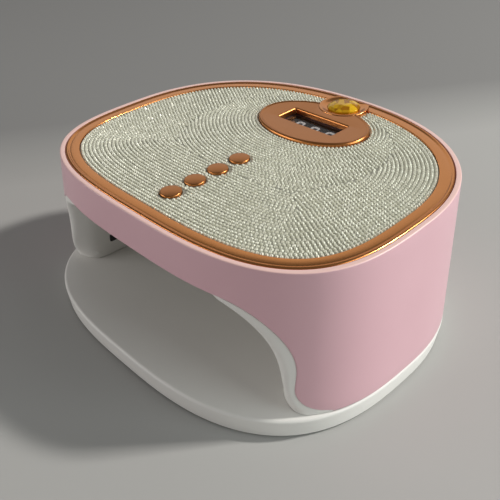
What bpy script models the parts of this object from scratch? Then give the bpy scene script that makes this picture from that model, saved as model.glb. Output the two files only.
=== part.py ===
"""UV LED nail lamp: a leaning oval housing with a hand tunnel that stands on a loose base plate.

Metres, +Z up. X points to the user's right hand, +Y to the back, and the origin is on the floor
under the middle of the housing's widest line.
"""
import math

import bmesh
import bpy
import numpy as np
from mathutils import Matrix, Vector

for old in list(bpy.data.objects):
    bpy.data.objects.remove(old, do_unlink=True)

MM = 0.001

# Clearances
GAP = 0.3 * MM
SEAM = 0.5 * MM

# Plan of the housing at its rim: two half superellipses that meet on the widest line
RIM_HALF_WIDTH = 110.0 * MM
RIM_FRONT_REACH = 86.0 * MM
RIM_REAR_REACH = 95.5 * MM
FRONT_POWER = 3.16
REAR_POWER = 2.3
WALL_LEAN = 5.0 * MM

# Heights: the rim rises towards the back, and the roof space is between the tunnel and the rim
FOOT_LIFT = 1.0 * MM
BASE_THICKNESS = 11.3 * MM
ROOF_SPACE = 26.3 * MM
RIM_SLOPE = 0.047

# Hand tunnel with its flared mouth, front skirt, lip and foot plate of the inner shell
LEG_WIDTH = 30.0 * MM
TUNNEL_RISE = 56.5 * MM
TUNNEL_POWER = 2.8
TUNNEL_NARROWING = 1.5 * MM
TUNNEL_FALL = 5.5 * MM
MOUTH_BACK = -58.0 * MM
MOUTH_BEND = 7.0 * MM
MOUTH_SWEEP = math.radians(65)
MOUTH_SPREAD = 1.4
MOUTH_LIFT = 0.275
TOE_SPREAD = 0.8
TOE_HEIGHT = 20.0 * MM
LIP_SETBACK = 0.4 * MM
TUNNEL_ROUNDING = 14.0 * MM
TUNNEL_END_SWEEP = math.radians(80)
BACK_SPACE = 11.5 * MM
LINER_WALL = 2.0 * MM
SKIRT_MARGIN = 12.2 * MM
SKIRT_BACK = -36.0 * MM
FOOT_COVER = 1.3 * MM

# Outer shell
SHELL_WALL = 2.2 * MM
DECK_DROP = 3.0 * MM
DECK_THICKNESS = 2.0 * MM
ARCH_REVEAL = 15.0 * MM
ARCH_RISE = 2.7 * MM
LEG_STRAIGHT = 6.7 * MM
LEG_RADIUS = 17.0 * MM
LEG_SWEEP = math.radians(72)
VENT_WIDTH = 2.4 * MM
VENT_CORNER = 1.0 * MM
VENT_LENGTH = 16.0 * MM
VENT_PITCH = 6.0 * MM
VENT_COUNT = 3
VENT_FIRST_X = 26.0 * MM
VENT_HEIGHT = 50.0 * MM

# Rose-gold trim ring round the top
BEAD_WIDTH = 2.6 * MM
BEAD_HEIGHT = 0.6 * MM
BEAD_FOOT = -0.4 * MM
GROOVE_WIDTH = 0.5 * MM
GROOVE_DEPTH = 0.4 * MM
BAND_WIDTH = 5.4 * MM
BAND_LEVEL = -0.3 * MM
BAND_EDGE = 0.5 * MM

# Crystal panel, whose rows of stones are gathered into a few ridges that follow the rim
PANEL_THICKNESS = 1.6 * MM
RIDGE_COUNT = 6
RIDGE_RISE = 0.7 * MM
RIDGE_FOOT = 0.1 * MM

# Display
DISPLAY_SETBACK = 46.0 * MM
BEZEL_HALF_WIDTH = 37.0 * MM
BEZEL_HALF_DEPTH = 26.3 * MM
BEZEL_LEVEL = 0.7 * MM
BEZEL_RIM_WIDTH = 2.4 * MM
BEZEL_RIM_RISE = 0.4 * MM
WINDOW_WIDTH = 41.0 * MM
WINDOW_DEPTH = 16.0 * MM
WINDOW_CORNER = 0.8 * MM
WINDOW_CHAMFER = 1.0 * MM
LENS_THICKNESS = 1.2 * MM
LENS_MARGIN = 0.8 * MM
DIGIT_COUNT = 3
DIGIT_PITCH = 11.5 * MM
DIGIT_WIDTH = 8.0 * MM
DIGIT_HEIGHT = 12.0 * MM
DIGIT_WELL = 1.2 * MM

# Jewel and its setting
JEWEL_SETBACK = 16.5 * MM
JEWEL_RADIUS = 10.0 * MM
JEWEL_FACETS = 10
JEWEL_CROWN = 2.4 * MM
JEWEL_GIRDLE = 1.4 * MM
BREAK_INSET = 1.2 * MM
BREAK_DROP = 1.0 * MM
TABLE_INSET = 4.8 * MM
SETTING_WIDTH = 5.5 * MM
SETTING_LEVEL = 1.1 * MM
SETTING_RIM_WIDTH = 2.2 * MM
SETTING_DISH = 1.1 * MM
SEAT_DEPTH = 0.9 * MM

# Timer buttons, their switches and the control board
BUTTON_COUNT = 4
BUTTON_SETBACK = 26.9 * MM
BUTTON_SPACING = 1.3 * MM
BUTTON_RADIUS = 5.7 * MM
BUTTON_LEVEL = 0.2 * MM
BUTTON_CROWN = 0.3 * MM
BUTTON_BEVEL = 0.6 * MM
BUTTON_TRAVEL = 0.6 * MM
FLANGE_MARGIN = 1.3 * MM
FLANGE_THICKNESS = 1.0 * MM
SWITCH_WIDTH = 6.2 * MM
SWITCH_HEIGHT = 3.2 * MM
PLUNGER_RADIUS = 1.75 * MM
PLUNGER_SHOW = 1.0 * MM
PLUNGER_GUIDE = 1.0 * MM
BOARD_THICKNESS = 1.6 * MM
BOARD_HALF_WIDTH = 26.0 * MM
BOARD_MARGIN = 10.0 * MM
BOARD_CORNER = 3.0 * MM
BOARD_SCREW_INSET = 4.0 * MM

# Screws, used in two sizes
BOSS_WALL = 1.7 * MM
BOARD_SCREW_RADIUS = 1.1 * MM
BOARD_SCREW_LENGTH = 6.0 * MM
CASE_SCREW_RADIUS = 1.5 * MM
CASE_SCREW_LENGTH = 12.0 * MM
SCREW_HEAD_RATIO = 2.0
SCREW_HEAD_HEIGHT = 1.6 * MM
SCREW_HEAD_BEVEL = 0.6 * MM
SCREW_TIP_ROOM = 1.4 * MM
CASE_BOSS_SETBACK = 6.5 * MM
CASE_BOSS_FRONT_Y = -24.0 * MM
CASE_BOSS_BACK_Y = 56.0 * MM
RIB_THICKNESS = 1.8 * MM

# LED boards on the liner
LED_RADIUS = 4.0 * MM
LED_REACH = 3.4 * MM
LED_DOME = 1.6 * MM
LED_BOARD_Y = -4.0 * MM
SIDE_BOARD_HEIGHT = 44.0 * MM
LED_COLUMNS = 3
ROOF_LED_ROWS = 4
SIDE_LED_ROWS = 1
LED_PITCH_ALONG = 26.0 * MM
LED_PITCH_ACROSS = 22.0 * MM
LED_BOARD_MARGIN = 8.0 * MM

# Hand sensors near the mouth of the tunnel
SENSOR_Y = -46.0 * MM
SENSOR_HEIGHT = 24.0 * MM
SENSOR_LENGTH = 10.0 * MM
SENSOR_WIDTH = 5.0 * MM
SENSOR_PROUD = 0.4 * MM
SENSOR_FLANGE = 1.5 * MM

# Power inlet and its board
INLET_BODY = 10.0 * MM
INLET_LENGTH = 14.0 * MM
INLET_NOSE_RADIUS = 4.0 * MM
INLET_BORE_RADIUS = 2.8 * MM
INLET_BORE_DEPTH = 9.0 * MM
INLET_PIN_RADIUS = 1.0 * MM
INLET_SETBACK = 0.6 * MM
POWER_BOARD_WIDTH = 58.0 * MM
POWER_BOARD_DEPTH = 18.0 * MM

# Base plate, feet, magnets and locating pins
BASE_LIP = 9.5 * MM
BASE_FRONT_POWER = 2.88
BASE_TAPER = 1.0 * MM
BASE_EDGE = 1.8 * MM
BASE_SKIN = 2.5 * MM
BASE_RIB = 2.0 * MM
BASE_RIB_DEPTH = 5.0 * MM
FOOT_RADIUS = 8.0 * MM
FOOT_THICKNESS = 3.0 * MM
FOOT_RIM = 1.5 * MM
FOOT_SIDE_INSET = 37.0 * MM
FOOT_END_INSET = 42.5 * MM
MAGNET_RADIUS = 5.0 * MM
MAGNET_THICKNESS = 2.4 * MM
MAGNET_Y = 14.0 * MM
MAGNET_BOSS_WALL = 2.0 * MM
PIN_RADIUS = 2.5 * MM
PIN_COVER = 0.8 * MM
PIN_LEAD = 0.9 * MM
PIN_Y = -48.0 * MM

# Facets
OUTLINE_POINTS = 52
ARCH_POINTS = 25
ROUND_STEPS = 16
SMALL_STEPS = 8
RING_STEPS = 28
OVAL_POINTS = 48
FILLET_STEPS = 4
CORNER_STEPS = 2
SMOOTH_ANGLE = math.radians(35)

# Heights and places that follow from the sizes above; levels are measured from the sloping rim
BASE_TOP = FOOT_LIFT + BASE_THICKNESS
SHELL_BOTTOM = BASE_TOP + SEAM
LINER_BOTTOM = BASE_TOP + GAP
TUNNEL_CROWN = BASE_TOP + TUNNEL_RISE
RIM_HEIGHT = TUNNEL_CROWN + ROOF_SPACE
FOOT_PLATE = MAGNET_THICKNESS + GAP + FOOT_COVER
PIN_HEIGHT = FOOT_PLATE - PIN_COVER
SKIRT_TOP = TUNNEL_CROWN + SKIRT_MARGIN
ARCH_TOP = TUNNEL_CROWN + ARCH_RISE
ARCH_RADIUS = ARCH_TOP - SHELL_BOTTOM - LEG_RADIUS - LEG_STRAIGHT
TUNNEL_HALF_WIDTH = RIM_HALF_WIDTH - LEG_WIDTH
ARCH_HALF_WIDTH = TUNNEL_HALF_WIDTH + ARCH_REVEAL
TUNNEL_FRONT = -RIM_FRONT_REACH
TUNNEL_BACK = RIM_REAR_REACH - POWER_BOARD_DEPTH - BACK_SPACE
DECK_TOP = -DECK_DROP
DECK_UNDERSIDE = DECK_TOP - DECK_THICKNESS
SEAT_LEVEL = DECK_TOP + GAP
TRIM_OUTER = SHELL_WALL + GAP
BEAD_INNER = TRIM_OUTER + BEAD_WIDTH
BAND_OUTER = BEAD_INNER + GROOVE_WIDTH
BAND_INNER = BAND_OUTER + BAND_WIDTH
PANEL_EDGE = BAND_INNER + GAP
PANEL_TOP = SEAT_LEVEL + PANEL_THICKNESS
DISPLAY_Y = RIM_REAR_REACH - DISPLAY_SETBACK
JEWEL_Y = RIM_REAR_REACH - JEWEL_SETBACK
SETTING_RADIUS = JEWEL_RADIUS + SETTING_WIDTH
JEWEL_SEAT = SETTING_LEVEL - SETTING_DISH
LENS_TOP = DECK_TOP
LENS_WIDTH = WINDOW_WIDTH + 2 * LENS_MARGIN
LENS_DEPTH = WINDOW_DEPTH + 2 * LENS_MARGIN
BUTTON_HOLE = BUTTON_RADIUS + GAP
FLANGE_RADIUS = BUTTON_HOLE + FLANGE_MARGIN
FLANGE_TOP = DECK_UNDERSIDE - GAP
FLANGE_UNDERSIDE = FLANGE_TOP - FLANGE_THICKNESS
PLUNGER_TOP = FLANGE_UNDERSIDE - GAP
SWITCH_TOP = PLUNGER_TOP - PLUNGER_SHOW
BOARD_TOP = SWITCH_TOP - SWITCH_HEIGHT - GAP
BOARD_UNDERSIDE = BOARD_TOP - BOARD_THICKNESS
POWER_BOARD_LOW = LINER_BOTTOM + FOOT_PLATE + BOARD_SCREW_LENGTH + SCREW_TIP_ROOM - BOARD_THICKNESS - GAP
INLET_HEIGHT = POWER_BOARD_LOW + BOARD_THICKNESS + GAP + INLET_BODY / 2
BASE_HALF_WIDTH = RIM_HALF_WIDTH + WALL_LEAN
BASE_FRONT_REACH = RIM_FRONT_REACH + WALL_LEAN + BASE_LIP
BASE_REAR_REACH = RIM_REAR_REACH + WALL_LEAN
BEYOND = 30.0 * MM


def rim_height(y):
    return RIM_HEIGHT + RIM_SLOPE * y


# Outlines

def even_steps(points, count):
    """The same line with count points, equally far apart along it."""
    runs = np.linalg.norm(np.diff(points, axis=0), axis=1)
    along = np.concatenate([[0.0], np.cumsum(runs)])
    steps = np.linspace(0.0, along[-1], count)
    return np.column_stack([np.interp(steps, along, column) for column in points.T])


def plan_outline(half_width, front_reach, rear_reach, front_power):
    """The housing's plan from the back round by the right side, the front and the left side."""
    turn = np.linspace(0.0, math.pi, 20 * OUTLINE_POINTS)
    across, along = np.sin(turn), np.cos(turn)
    power = np.where(along > 0, REAR_POWER, front_power)
    reach = np.where(along > 0, rear_reach, front_reach)
    x = half_width * np.abs(across) ** (2 / power)
    y = np.sign(along) * reach * np.abs(along) ** (2 / power)
    right = even_steps(np.column_stack([x, y]), OUTLINE_POINTS // 2 + 1)
    right[0, 0] = right[-1, 0] = 0.0
    left = right[-2:0:-1] * (-1, 1)
    return np.vstack([right, left])


def inset(points, distance):
    """The outline moved inwards by a distance, or by one distance for each point."""
    run = np.roll(points, -1, axis=0) - np.roll(points, 1, axis=0)
    run /= np.linalg.norm(run, axis=1)[:, None]
    inward = np.column_stack([run[:, 1], -run[:, 0]])
    return points + inward * np.reshape(distance, (-1, 1))


RIM_OUTLINE = plan_outline(RIM_HALF_WIDTH, RIM_FRONT_REACH, RIM_REAR_REACH, FRONT_POWER)


def at_height(points, z):
    return np.column_stack([points, np.full(len(points), z)])


def under_rim(points, level):
    """Plan points lifted to a level measured from the sloping rim plane."""
    return np.column_stack([points, rim_height(points[:, 1]) + level])


def wall_plan(inward, drop):
    """Plan of the leaning wall, set inwards, at a drop below the rim."""
    rim = rim_height(RIM_OUTLINE[:, 1])
    lean = WALL_LEAN * drop / (rim - SHELL_BOTTOM)
    return inset(inset(RIM_OUTLINE, -lean), inward)


def wall_at_height(inward, z):
    return at_height(wall_plan(inward, rim_height(RIM_OUTLINE[:, 1]) - z), z)


def wall_at_drop(inward, drop):
    return under_rim(wall_plan(inward, drop), -drop)


def edge_x(y, inward):
    """Half width of the rim outline, set inwards, at a given y."""
    right = inset(RIM_OUTLINE, inward)[:OUTLINE_POINTS // 2 + 1]
    return float(np.interp(y, right[::-1, 1], right[::-1, 0]))


def oval(half_width, half_depth, count):
    turn = np.linspace(0.0, 2 * math.pi, count, endpoint=False)
    return np.column_stack([half_width * np.sin(turn), half_depth * np.cos(turn)])


def rounded_rectangle(width, depth, corner):
    quarter = np.linspace(0.0, math.pi / 2, CORNER_STEPS + 1)
    points = []
    for k, (sx, sy) in enumerate(((1, 1), (1, -1), (-1, -1), (-1, 1))):
        turn = quarter + k * math.pi / 2
        points += [(sx * (width / 2 - corner) + corner * math.sin(a),
                    sy * (depth / 2 - corner) + corner * math.cos(a)) for a in turn]
    return np.array(points)


# Mesh making

def loft(rings, closed=False):
    """Skin a row of loops: capped at both ends, or closed into a ring."""
    bm = bmesh.new()
    loops = [[bm.verts.new(point) for point in ring] for ring in rings]
    for first, second in zip(loops, loops[1:] + loops[:1] if closed else loops[1:]):
        for k in range(len(first)):
            bm.faces.new((first[k - 1], first[k], second[k], second[k - 1]))
    if not closed:
        bm.faces.new(loops[0])
        bm.faces.new(loops[-1])
    bmesh.ops.recalc_face_normals(bm, faces=bm.faces)
    return bm


def prism(points, low, high):
    return loft([at_height(points, low), at_height(points, high)])


def turned(profile, steps):
    """A solid turned about Z from (radius, height) points that start and end on the axis."""
    bm = bmesh.new()
    verts = [bm.verts.new((r, 0.0, z)) for r, z in profile]
    edges = [bm.edges.new(pair) for pair in zip(verts, verts[1:])]
    bmesh.ops.spin(bm, geom=verts + edges, axis=(0, 0, 1), cent=(0, 0, 0), angle=2 * math.pi,
                   steps=steps, use_merge=True)
    bmesh.ops.remove_doubles(bm, verts=bm.verts, dist=1e-7)
    bmesh.ops.recalc_face_normals(bm, faces=bm.faces)
    return bm


def cylinder(radius, low, high, steps=SMALL_STEPS):
    return turned([(0, low), (radius, low), (radius, high), (0, high)], steps)


def tube(outer, inner, low, high, steps=SMALL_STEPS):
    wide = oval(outer, outer, steps)
    narrow = oval(inner, inner, steps)
    return loft([at_height(wide, low), at_height(wide, high),
                 at_height(narrow, high), at_height(narrow, low)], closed=True)


def box(width, depth, low, high):
    bm = bmesh.new()
    middle = Matrix.Translation((0, 0, (low + high) / 2))
    bmesh.ops.create_cube(bm, size=1.0, matrix=middle @ Matrix.Diagonal((width, depth, high - low, 1)))
    return bm


def moved(bm, matrix):
    bmesh.ops.transform(bm, matrix=matrix, verts=bm.verts)
    return bm


def gathered(shapes):
    """Several closed shapes in one mesh, for use as one tool."""
    whole = bmesh.new()
    for bm in shapes:
        piece = bpy.data.meshes.new("piece")
        bm.to_mesh(piece)
        bm.free()
        whole.from_mesh(piece)
        bpy.data.meshes.remove(piece)
    return whole


def along_rim():
    """Shear that lays a piece parallel to the sloping rim and keeps its walls upright."""
    return Matrix(((1, 0, 0, 0), (0, 1, 0, 0), (0, RIM_SLOPE, 1, 0), (0, 0, 0, 1)))


def rim_place(x, y):
    return Vector((x, y, rim_height(y)))


def on_rim(bm, x, y):
    """A shape modelled about its own middle, laid along the rim at a place."""
    return moved(bm, Matrix.Translation(rim_place(x, y)) @ along_rim())


# Materials and objects

def material(name, colour, roughness, metallic=0.0):
    made = bpy.data.materials.new(name)
    made.use_nodes = True
    shader = made.node_tree.nodes["Principled BSDF"]
    shader.inputs["Base Color"].default_value = (*colour, 1.0)
    shader.inputs["Roughness"].default_value = roughness
    shader.inputs["Metallic"].default_value = metallic
    return made


PINK = material("pink_plastic", (0.72, 0.42, 0.47), 0.35)
WHITE = material("white_plastic", (0.78, 0.78, 0.74), 0.4)
ROSE_GOLD = material("rose_gold_plating", (0.60, 0.29, 0.13), 0.22, 1.0)
CRYSTAL = material("crystal_panel", (0.62, 0.62, 0.56), 0.2, 0.6)
SMOKED = material("smoked_lens", (0.03, 0.025, 0.025), 0.1)
BLACK = material("black_plastic", (0.02, 0.02, 0.02), 0.5)
AMBER = material("amber_jewel", (0.62, 0.32, 0.02), 0.08)
BOARD = material("circuit_board", (0.05, 0.22, 0.1), 0.5)
LED_WHITE = material("led_board", (0.8, 0.8, 0.78), 0.4)
STEEL = material("bright_steel", (0.6, 0.6, 0.62), 0.3, 1.0)
RUBBER = material("grey_rubber", (0.12, 0.12, 0.12), 0.8)


def empty(name, parent=None):
    made = bpy.data.objects.new(name, None)
    made.parent = parent
    bpy.context.scene.collection.objects.link(made)
    return made


BASE = empty("base")
HEAD = empty("lamp_head", BASE)


def add_object(name, bm, location):
    mesh = bpy.data.meshes.new(name)
    bm.to_mesh(mesh)
    bm.free()
    made = bpy.data.objects.new(name, mesh)
    made.location = location
    bpy.context.scene.collection.objects.link(made)
    return made


def piece(name, bm, finish, parent=HEAD, location=(0, 0, 0)):
    made = add_object(name, bm, location)
    made.parent = parent
    made.data.materials.append(finish)
    made.data.shade_smooth()
    made.data.set_sharp_from_angle(angle=SMOOTH_ANGLE)
    return made


def tool(name, bm):
    made = add_object(name, bm, (0, 0, 0))
    made.hide_render = True
    made.display_type = "WIRE"
    return made


def combine(target, operand, operation):
    step = target.modifiers.new(operand.name, "BOOLEAN")
    step.operation = operation
    step.solver = "EXACT"
    step.object = operand


def cut(target, name, bm):
    combine(target, tool(name, bm), "DIFFERENCE")


def join(target, name, bm):
    combine(target, tool(name, bm), "UNION")


# Places shared by several pieces

BUTTON_PITCH = 2 * FLANGE_RADIUS + BUTTON_SPACING
BUTTON_YS = [BUTTON_SETBACK - RIM_FRONT_REACH + k * BUTTON_PITCH for k in range(BUTTON_COUNT)]
BOARD_FRONT = BUTTON_YS[0] - BOARD_MARGIN
BOARD_BACK = DISPLAY_Y + WINDOW_DEPTH / 2 + BOARD_MARGIN
BOARD_MIDDLE = (BOARD_FRONT + BOARD_BACK) / 2
BOARD_SCREWS = [(side * (BOARD_HALF_WIDTH - BOARD_SCREW_INSET), y) for side in (-1, 1)
                for y in (BOARD_FRONT + BOARD_SCREW_INSET, BOARD_BACK - BOARD_SCREW_INSET)]
CASE_SCREWS = [(side * edge_x(y, CASE_BOSS_SETBACK), y) for side in (-1, 1)
               for y in (CASE_BOSS_FRONT_Y, CASE_BOSS_BACK_Y)]


def mouth_flare(y):
    """How far the tunnel's mouth has opened at y: a hyperbola that leaves the straight tunnel."""
    ahead = max(MOUTH_BACK - y, 0.0) / MOUTH_BEND
    return MOUTH_BEND * (math.sqrt(1 + ahead * ahead) - 1)


def tunnel_size(y):
    """Half width and rise of the hand tunnel, which shrinks a little from its mouth to the back."""
    share = max(y - MOUTH_BACK, 0.0) / (TUNNEL_BACK - MOUTH_BACK)
    flare = mouth_flare(y)
    return (TUNNEL_HALF_WIDTH + MOUTH_SPREAD * flare - TUNNEL_NARROWING * share,
            TUNNEL_RISE + MOUTH_LIFT * flare - TUNNEL_FALL * share)


def leg_middle(y):
    """Half way between the tunnel's wall and the shell's wall."""
    return (tunnel_size(y)[0] + LINER_WALL + edge_x(y, SHELL_WALL)) / 2


MAGNETS = [(side * leg_middle(MAGNET_Y), MAGNET_Y) for side in (-1, 1)]
PINS = [(side * leg_middle(PIN_Y), PIN_Y) for side in (-1, 1)]
FOOT_X = BASE_HALF_WIDTH - FOOT_SIDE_INSET
FOOT_FRONT_Y = FOOT_END_INSET - BASE_FRONT_REACH
FOOT_BACK_Y = BASE_REAR_REACH - FOOT_END_INSET
FEET = [(x, y) for x in (-FOOT_X, FOOT_X) for y in (FOOT_FRONT_Y, FOOT_BACK_Y)]


def upright(x, y, z=0.0):
    return Matrix.Translation((x, y, z))


def screw_shape(radius, length):
    """Pan-head screw with its shank up; the head's seat is at height zero."""
    head = radius * SCREW_HEAD_RATIO
    low = -SCREW_HEAD_HEIGHT
    return turned([(0, low), (head - SCREW_HEAD_BEVEL, low), (head, low + SCREW_HEAD_BEVEL), (head, 0),
                   (radius, 0), (radius, length - radius), (0, length)], SMALL_STEPS)


# Outer shell

def shell_body():
    """Wall, half-round rim and sunk deck, skinned from the deck's underside to its top."""
    radius = SHELL_WALL / 2
    rings = [wall_at_drop(SHELL_WALL, DECK_DROP + DECK_THICKNESS),
             wall_at_height(SHELL_WALL, SHELL_BOTTOM),
             wall_at_height(0.0, SHELL_BOTTOM)]
    for turn in np.linspace(0.0, math.pi, FILLET_STEPS + 1):
        rings.append(wall_at_drop(radius - radius * math.cos(turn), radius - radius * math.sin(turn)))
    rings.append(wall_at_drop(SHELL_WALL, DECK_DROP))
    return loft(rings)


def arch_cutter(inward):
    """Front opening: a flat-topped arch whose legs flare into round corners at the bottom."""
    corner = np.linspace(0.0, math.pi / 2, 2 * FILLET_STEPS + 1)
    shoulder = ARCH_RADIUS - inward
    side = [(ARCH_HALF_WIDTH - ARCH_RADIUS + shoulder * math.sin(a),
             ARCH_TOP - ARCH_RADIUS + shoulder * math.cos(a)) for a in corner]
    flare = np.linspace(0.0, LEG_SWEEP, FILLET_STEPS + 2)
    leg = LEG_RADIUS + inward
    side += [(ARCH_HALF_WIDTH + LEG_RADIUS - leg * math.cos(a),
              SHELL_BOTTOM + LEG_RADIUS - leg * math.sin(a)) for a in flare]
    side.append((side[-1][0], 0.0))
    profile = side + [(-x, z) for x, z in reversed(side)]
    front = [(x, -RIM_FRONT_REACH - BEYOND, z) for x, z in profile]
    back = [(x, SKIRT_BACK, z) for x, z in profile]
    return loft([front, back])


CASE_BOSS_LOW = LINER_BOTTOM + FOOT_PLATE + GAP


def case_boss(x, y):
    """Screw boss that hangs from the deck."""
    high = rim_height(y) + DECK_UNDERSIDE + DECK_THICKNESS / 2
    bore = CASE_SCREW_RADIUS + GAP
    return moved(tube(bore + BOSS_WALL, bore, CASE_BOSS_LOW, high), upright(x, y))


def case_rib(x, y):
    """Rib between a case boss and the wall beside it."""
    bore = CASE_SCREW_RADIUS + GAP
    start = bore + BOSS_WALL / 2
    reach = CASE_BOSS_SETBACK - SHELL_WALL / 2 - start
    high = rim_height(y) + DECK_UNDERSIDE + DECK_THICKNESS / 4
    rib = box(reach, RIB_THICKNESS, CASE_BOSS_LOW + FOOT_PLATE, high)
    return moved(rib, upright(x + math.copysign(start + reach / 2, x), y))


def board_boss(x, y):
    """Screw boss for the control board, under the deck."""
    bore = BOARD_SCREW_RADIUS + GAP
    return on_rim(tube(bore + BOSS_WALL, bore, BOARD_TOP + GAP, DECK_UNDERSIDE + DECK_THICKNESS / 2), x, y)


def vent_slots():
    slots = []
    for side in (-1, 1):
        for k in range(VENT_COUNT):
            x = side * (VENT_FIRST_X + k * VENT_PITCH)
            slot = prism(rounded_rectangle(VENT_WIDTH, VENT_LENGTH, VENT_CORNER), 0.0, 2 * BEYOND)
            face_back = Matrix.Rotation(math.radians(-90), 4, "X")
            slots.append(moved(slot, upright(x, RIM_REAR_REACH - BEYOND, VENT_HEIGHT) @ face_back))
    return slots


def back_face(z):
    """How far back the shell's outer face is on the centre line, at a height."""
    rim = rim_height(RIM_REAR_REACH)
    return RIM_REAR_REACH + WALL_LEAN * (rim - z) / (rim - SHELL_BOTTOM)


def facing_back(bm, y, z):
    """Turn a shape's +Z to the back and place it on the centre line."""
    return moved(bm, upright(0, y, z) @ Matrix.Rotation(math.radians(-90), 4, "X"))


def make_outer_shell():
    shell = piece("outer_shell", shell_body(), PINK)
    join(shell, "case_bosses", gathered(case_boss(*place) for place in CASE_SCREWS))
    join(shell, "case_ribs", gathered(case_rib(*place) for place in CASE_SCREWS))
    join(shell, "board_bosses", gathered(board_boss(*place) for place in BOARD_SCREWS))
    cut(shell, "front_arch", arch_cutter(0.0))
    holes = [on_rim(cylinder(BUTTON_HOLE, DECK_UNDERSIDE - DECK_THICKNESS, BEYOND, ROUND_STEPS), 0, y)
             for y in BUTTON_YS]
    opening = rounded_rectangle(LENS_WIDTH + 2 * GAP, LENS_DEPTH + 2 * GAP, WINDOW_CORNER)
    holes.append(on_rim(prism(opening, DECK_UNDERSIDE - DECK_THICKNESS, BEYOND), 0, DISPLAY_Y))
    cut(shell, "deck_holes", gathered(holes))
    back_holes = vent_slots()
    back_holes.append(facing_back(cylinder(INLET_NOSE_RADIUS + GAP, 0, 2 * BEYOND, ROUND_STEPS),
                                  RIM_REAR_REACH - BEYOND / 2, INLET_HEIGHT))
    cut(shell, "back_holes", gathered(back_holes))


# Inner shell

def arch_line(half_width, rise):
    """Superellipse arch from the right foot over the top to the left foot."""
    turn = np.linspace(0.0, math.pi, 20 * ARCH_POINTS)
    power = 2 / TUNNEL_POWER
    x = half_width * np.sign(np.cos(turn)) * np.abs(np.cos(turn)) ** power
    z = BASE_TOP + rise * np.abs(np.sin(turn)) ** power
    return even_steps(np.column_stack([x, z]), ARCH_POINTS)


def arch_ring(y, half_width, rise):
    """Arch whose feet spread where the mouth opens, with sides that run on down to the floor."""
    line = arch_line(half_width, rise)
    low = np.clip(1 - (line[:, 1] - BASE_TOP) / TOE_HEIGHT, 0.0, 1.0)
    line[:, 0] += np.sign(line[:, 0]) * TOE_SPREAD * MOUTH_SPREAD * mouth_flare(y) * low ** 2
    line = np.vstack([[(line[0, 0], 0.0)], line, [(line[-1, 0], 0.0)]])
    return np.column_stack([line[:, 0], np.full(len(line), y), line[:, 1]])


def tunnel_solid(grow):
    """The space of the hand tunnel, or its outside where it is grown by the wall."""
    straight_end = TUNNEL_BACK - TUNNEL_ROUNDING
    bends = [MOUTH_BACK - MOUTH_BEND * math.tan(a) for a in np.linspace(MOUTH_SWEEP, 0.0, FILLET_STEPS)]
    rings = []
    for y in [TUNNEL_FRONT - BEYOND] + bends + [straight_end]:
        width, rise = tunnel_size(y)
        rings.append(arch_ring(y, width + grow, rise + grow))
    for turn in np.linspace(0.0, TUNNEL_END_SWEEP, FILLET_STEPS)[1:]:
        shrink = TUNNEL_ROUNDING * (1 - math.cos(turn))
        y = straight_end + (TUNNEL_ROUNDING + grow) * math.sin(turn)
        rings.append(arch_ring(y, width + grow - shrink, rise + grow - shrink))
    return loft(rings)


def wall_point(y, height, side):
    """A point on the tunnel's inner face at a height, with axes along, across and out of the wall."""
    def at(along, turn):
        width, rise = tunnel_size(along)
        power = 2 / TUNNEL_POWER
        x = side * width * max(math.cos(turn), 0.0) ** power
        return Vector((x, along, BASE_TOP + rise * math.sin(turn) ** power))
    rise = tunnel_size(y)[1]
    turn = math.asin(min((height - BASE_TOP) / rise, 1.0) ** (TUNNEL_POWER / 2))
    step = 1e-4
    along = (at(y + step, turn) - at(y - step, turn)).normalized()
    across = (at(y, turn + step) - at(y, turn - step)).normalized() * side
    out = along.cross(across).normalized()
    across = out.cross(along)
    frame = Matrix((along, across, out)).transposed().to_4x4()
    return Matrix.Translation(at(y, turn)) @ frame


def roof_point(y):
    """The same axes on the crown of the tunnel."""
    slope = -TUNNEL_FALL / (TUNNEL_BACK - MOUTH_BACK)
    along = Vector((0, 1, slope)).normalized()
    across = Vector((-1, 0, 0))
    frame = Matrix((along, across, along.cross(across))).transposed().to_4x4()
    return Matrix.Translation((0, y, BASE_TOP + tunnel_size(y)[1])) @ frame


LED_BOARDS = {"led_board_roof": (roof_point(LED_BOARD_Y), ROOF_LED_ROWS),
              "led_board_left": (wall_point(LED_BOARD_Y, SIDE_BOARD_HEIGHT, -1), SIDE_LED_ROWS),
              "led_board_right": (wall_point(LED_BOARD_Y, SIDE_BOARD_HEIGHT, 1), SIDE_LED_ROWS)}
SENSORS = {"hand_sensor_left": wall_point(SENSOR_Y, SENSOR_HEIGHT, -1),
           "hand_sensor_right": wall_point(SENSOR_Y, SENSOR_HEIGHT, 1)}


def led_places(rows):
    return [((column - (LED_COLUMNS - 1) / 2) * LED_PITCH_ALONG, (row - (rows - 1) / 2) * LED_PITCH_ACROSS)
            for column in range(LED_COLUMNS) for row in range(rows)]


def skirt_front():
    """Front part of a thin wall that lines the shell and closes the gap round the tunnel's mouth."""
    outer = SHELL_WALL + GAP
    inner = outer + LINER_WALL
    wall = loft([wall_at_height(outer, LINER_BOTTOM), wall_at_height(outer, SKIRT_TOP),
                 wall_at_height(inner, SKIRT_TOP), wall_at_height(inner, LINER_BOTTOM)], closed=True)
    skirt = tool("skirt", wall)
    width = 2 * (RIM_HALF_WIDTH + BEYOND)
    depth = RIM_REAR_REACH + BEYOND - SKIRT_BACK
    back = box(width, depth, 0.0, RIM_HEIGHT + BEYOND)
    cut(skirt, "skirt_back", moved(back, upright(0, SKIRT_BACK + depth / 2)))
    return skirt


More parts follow.
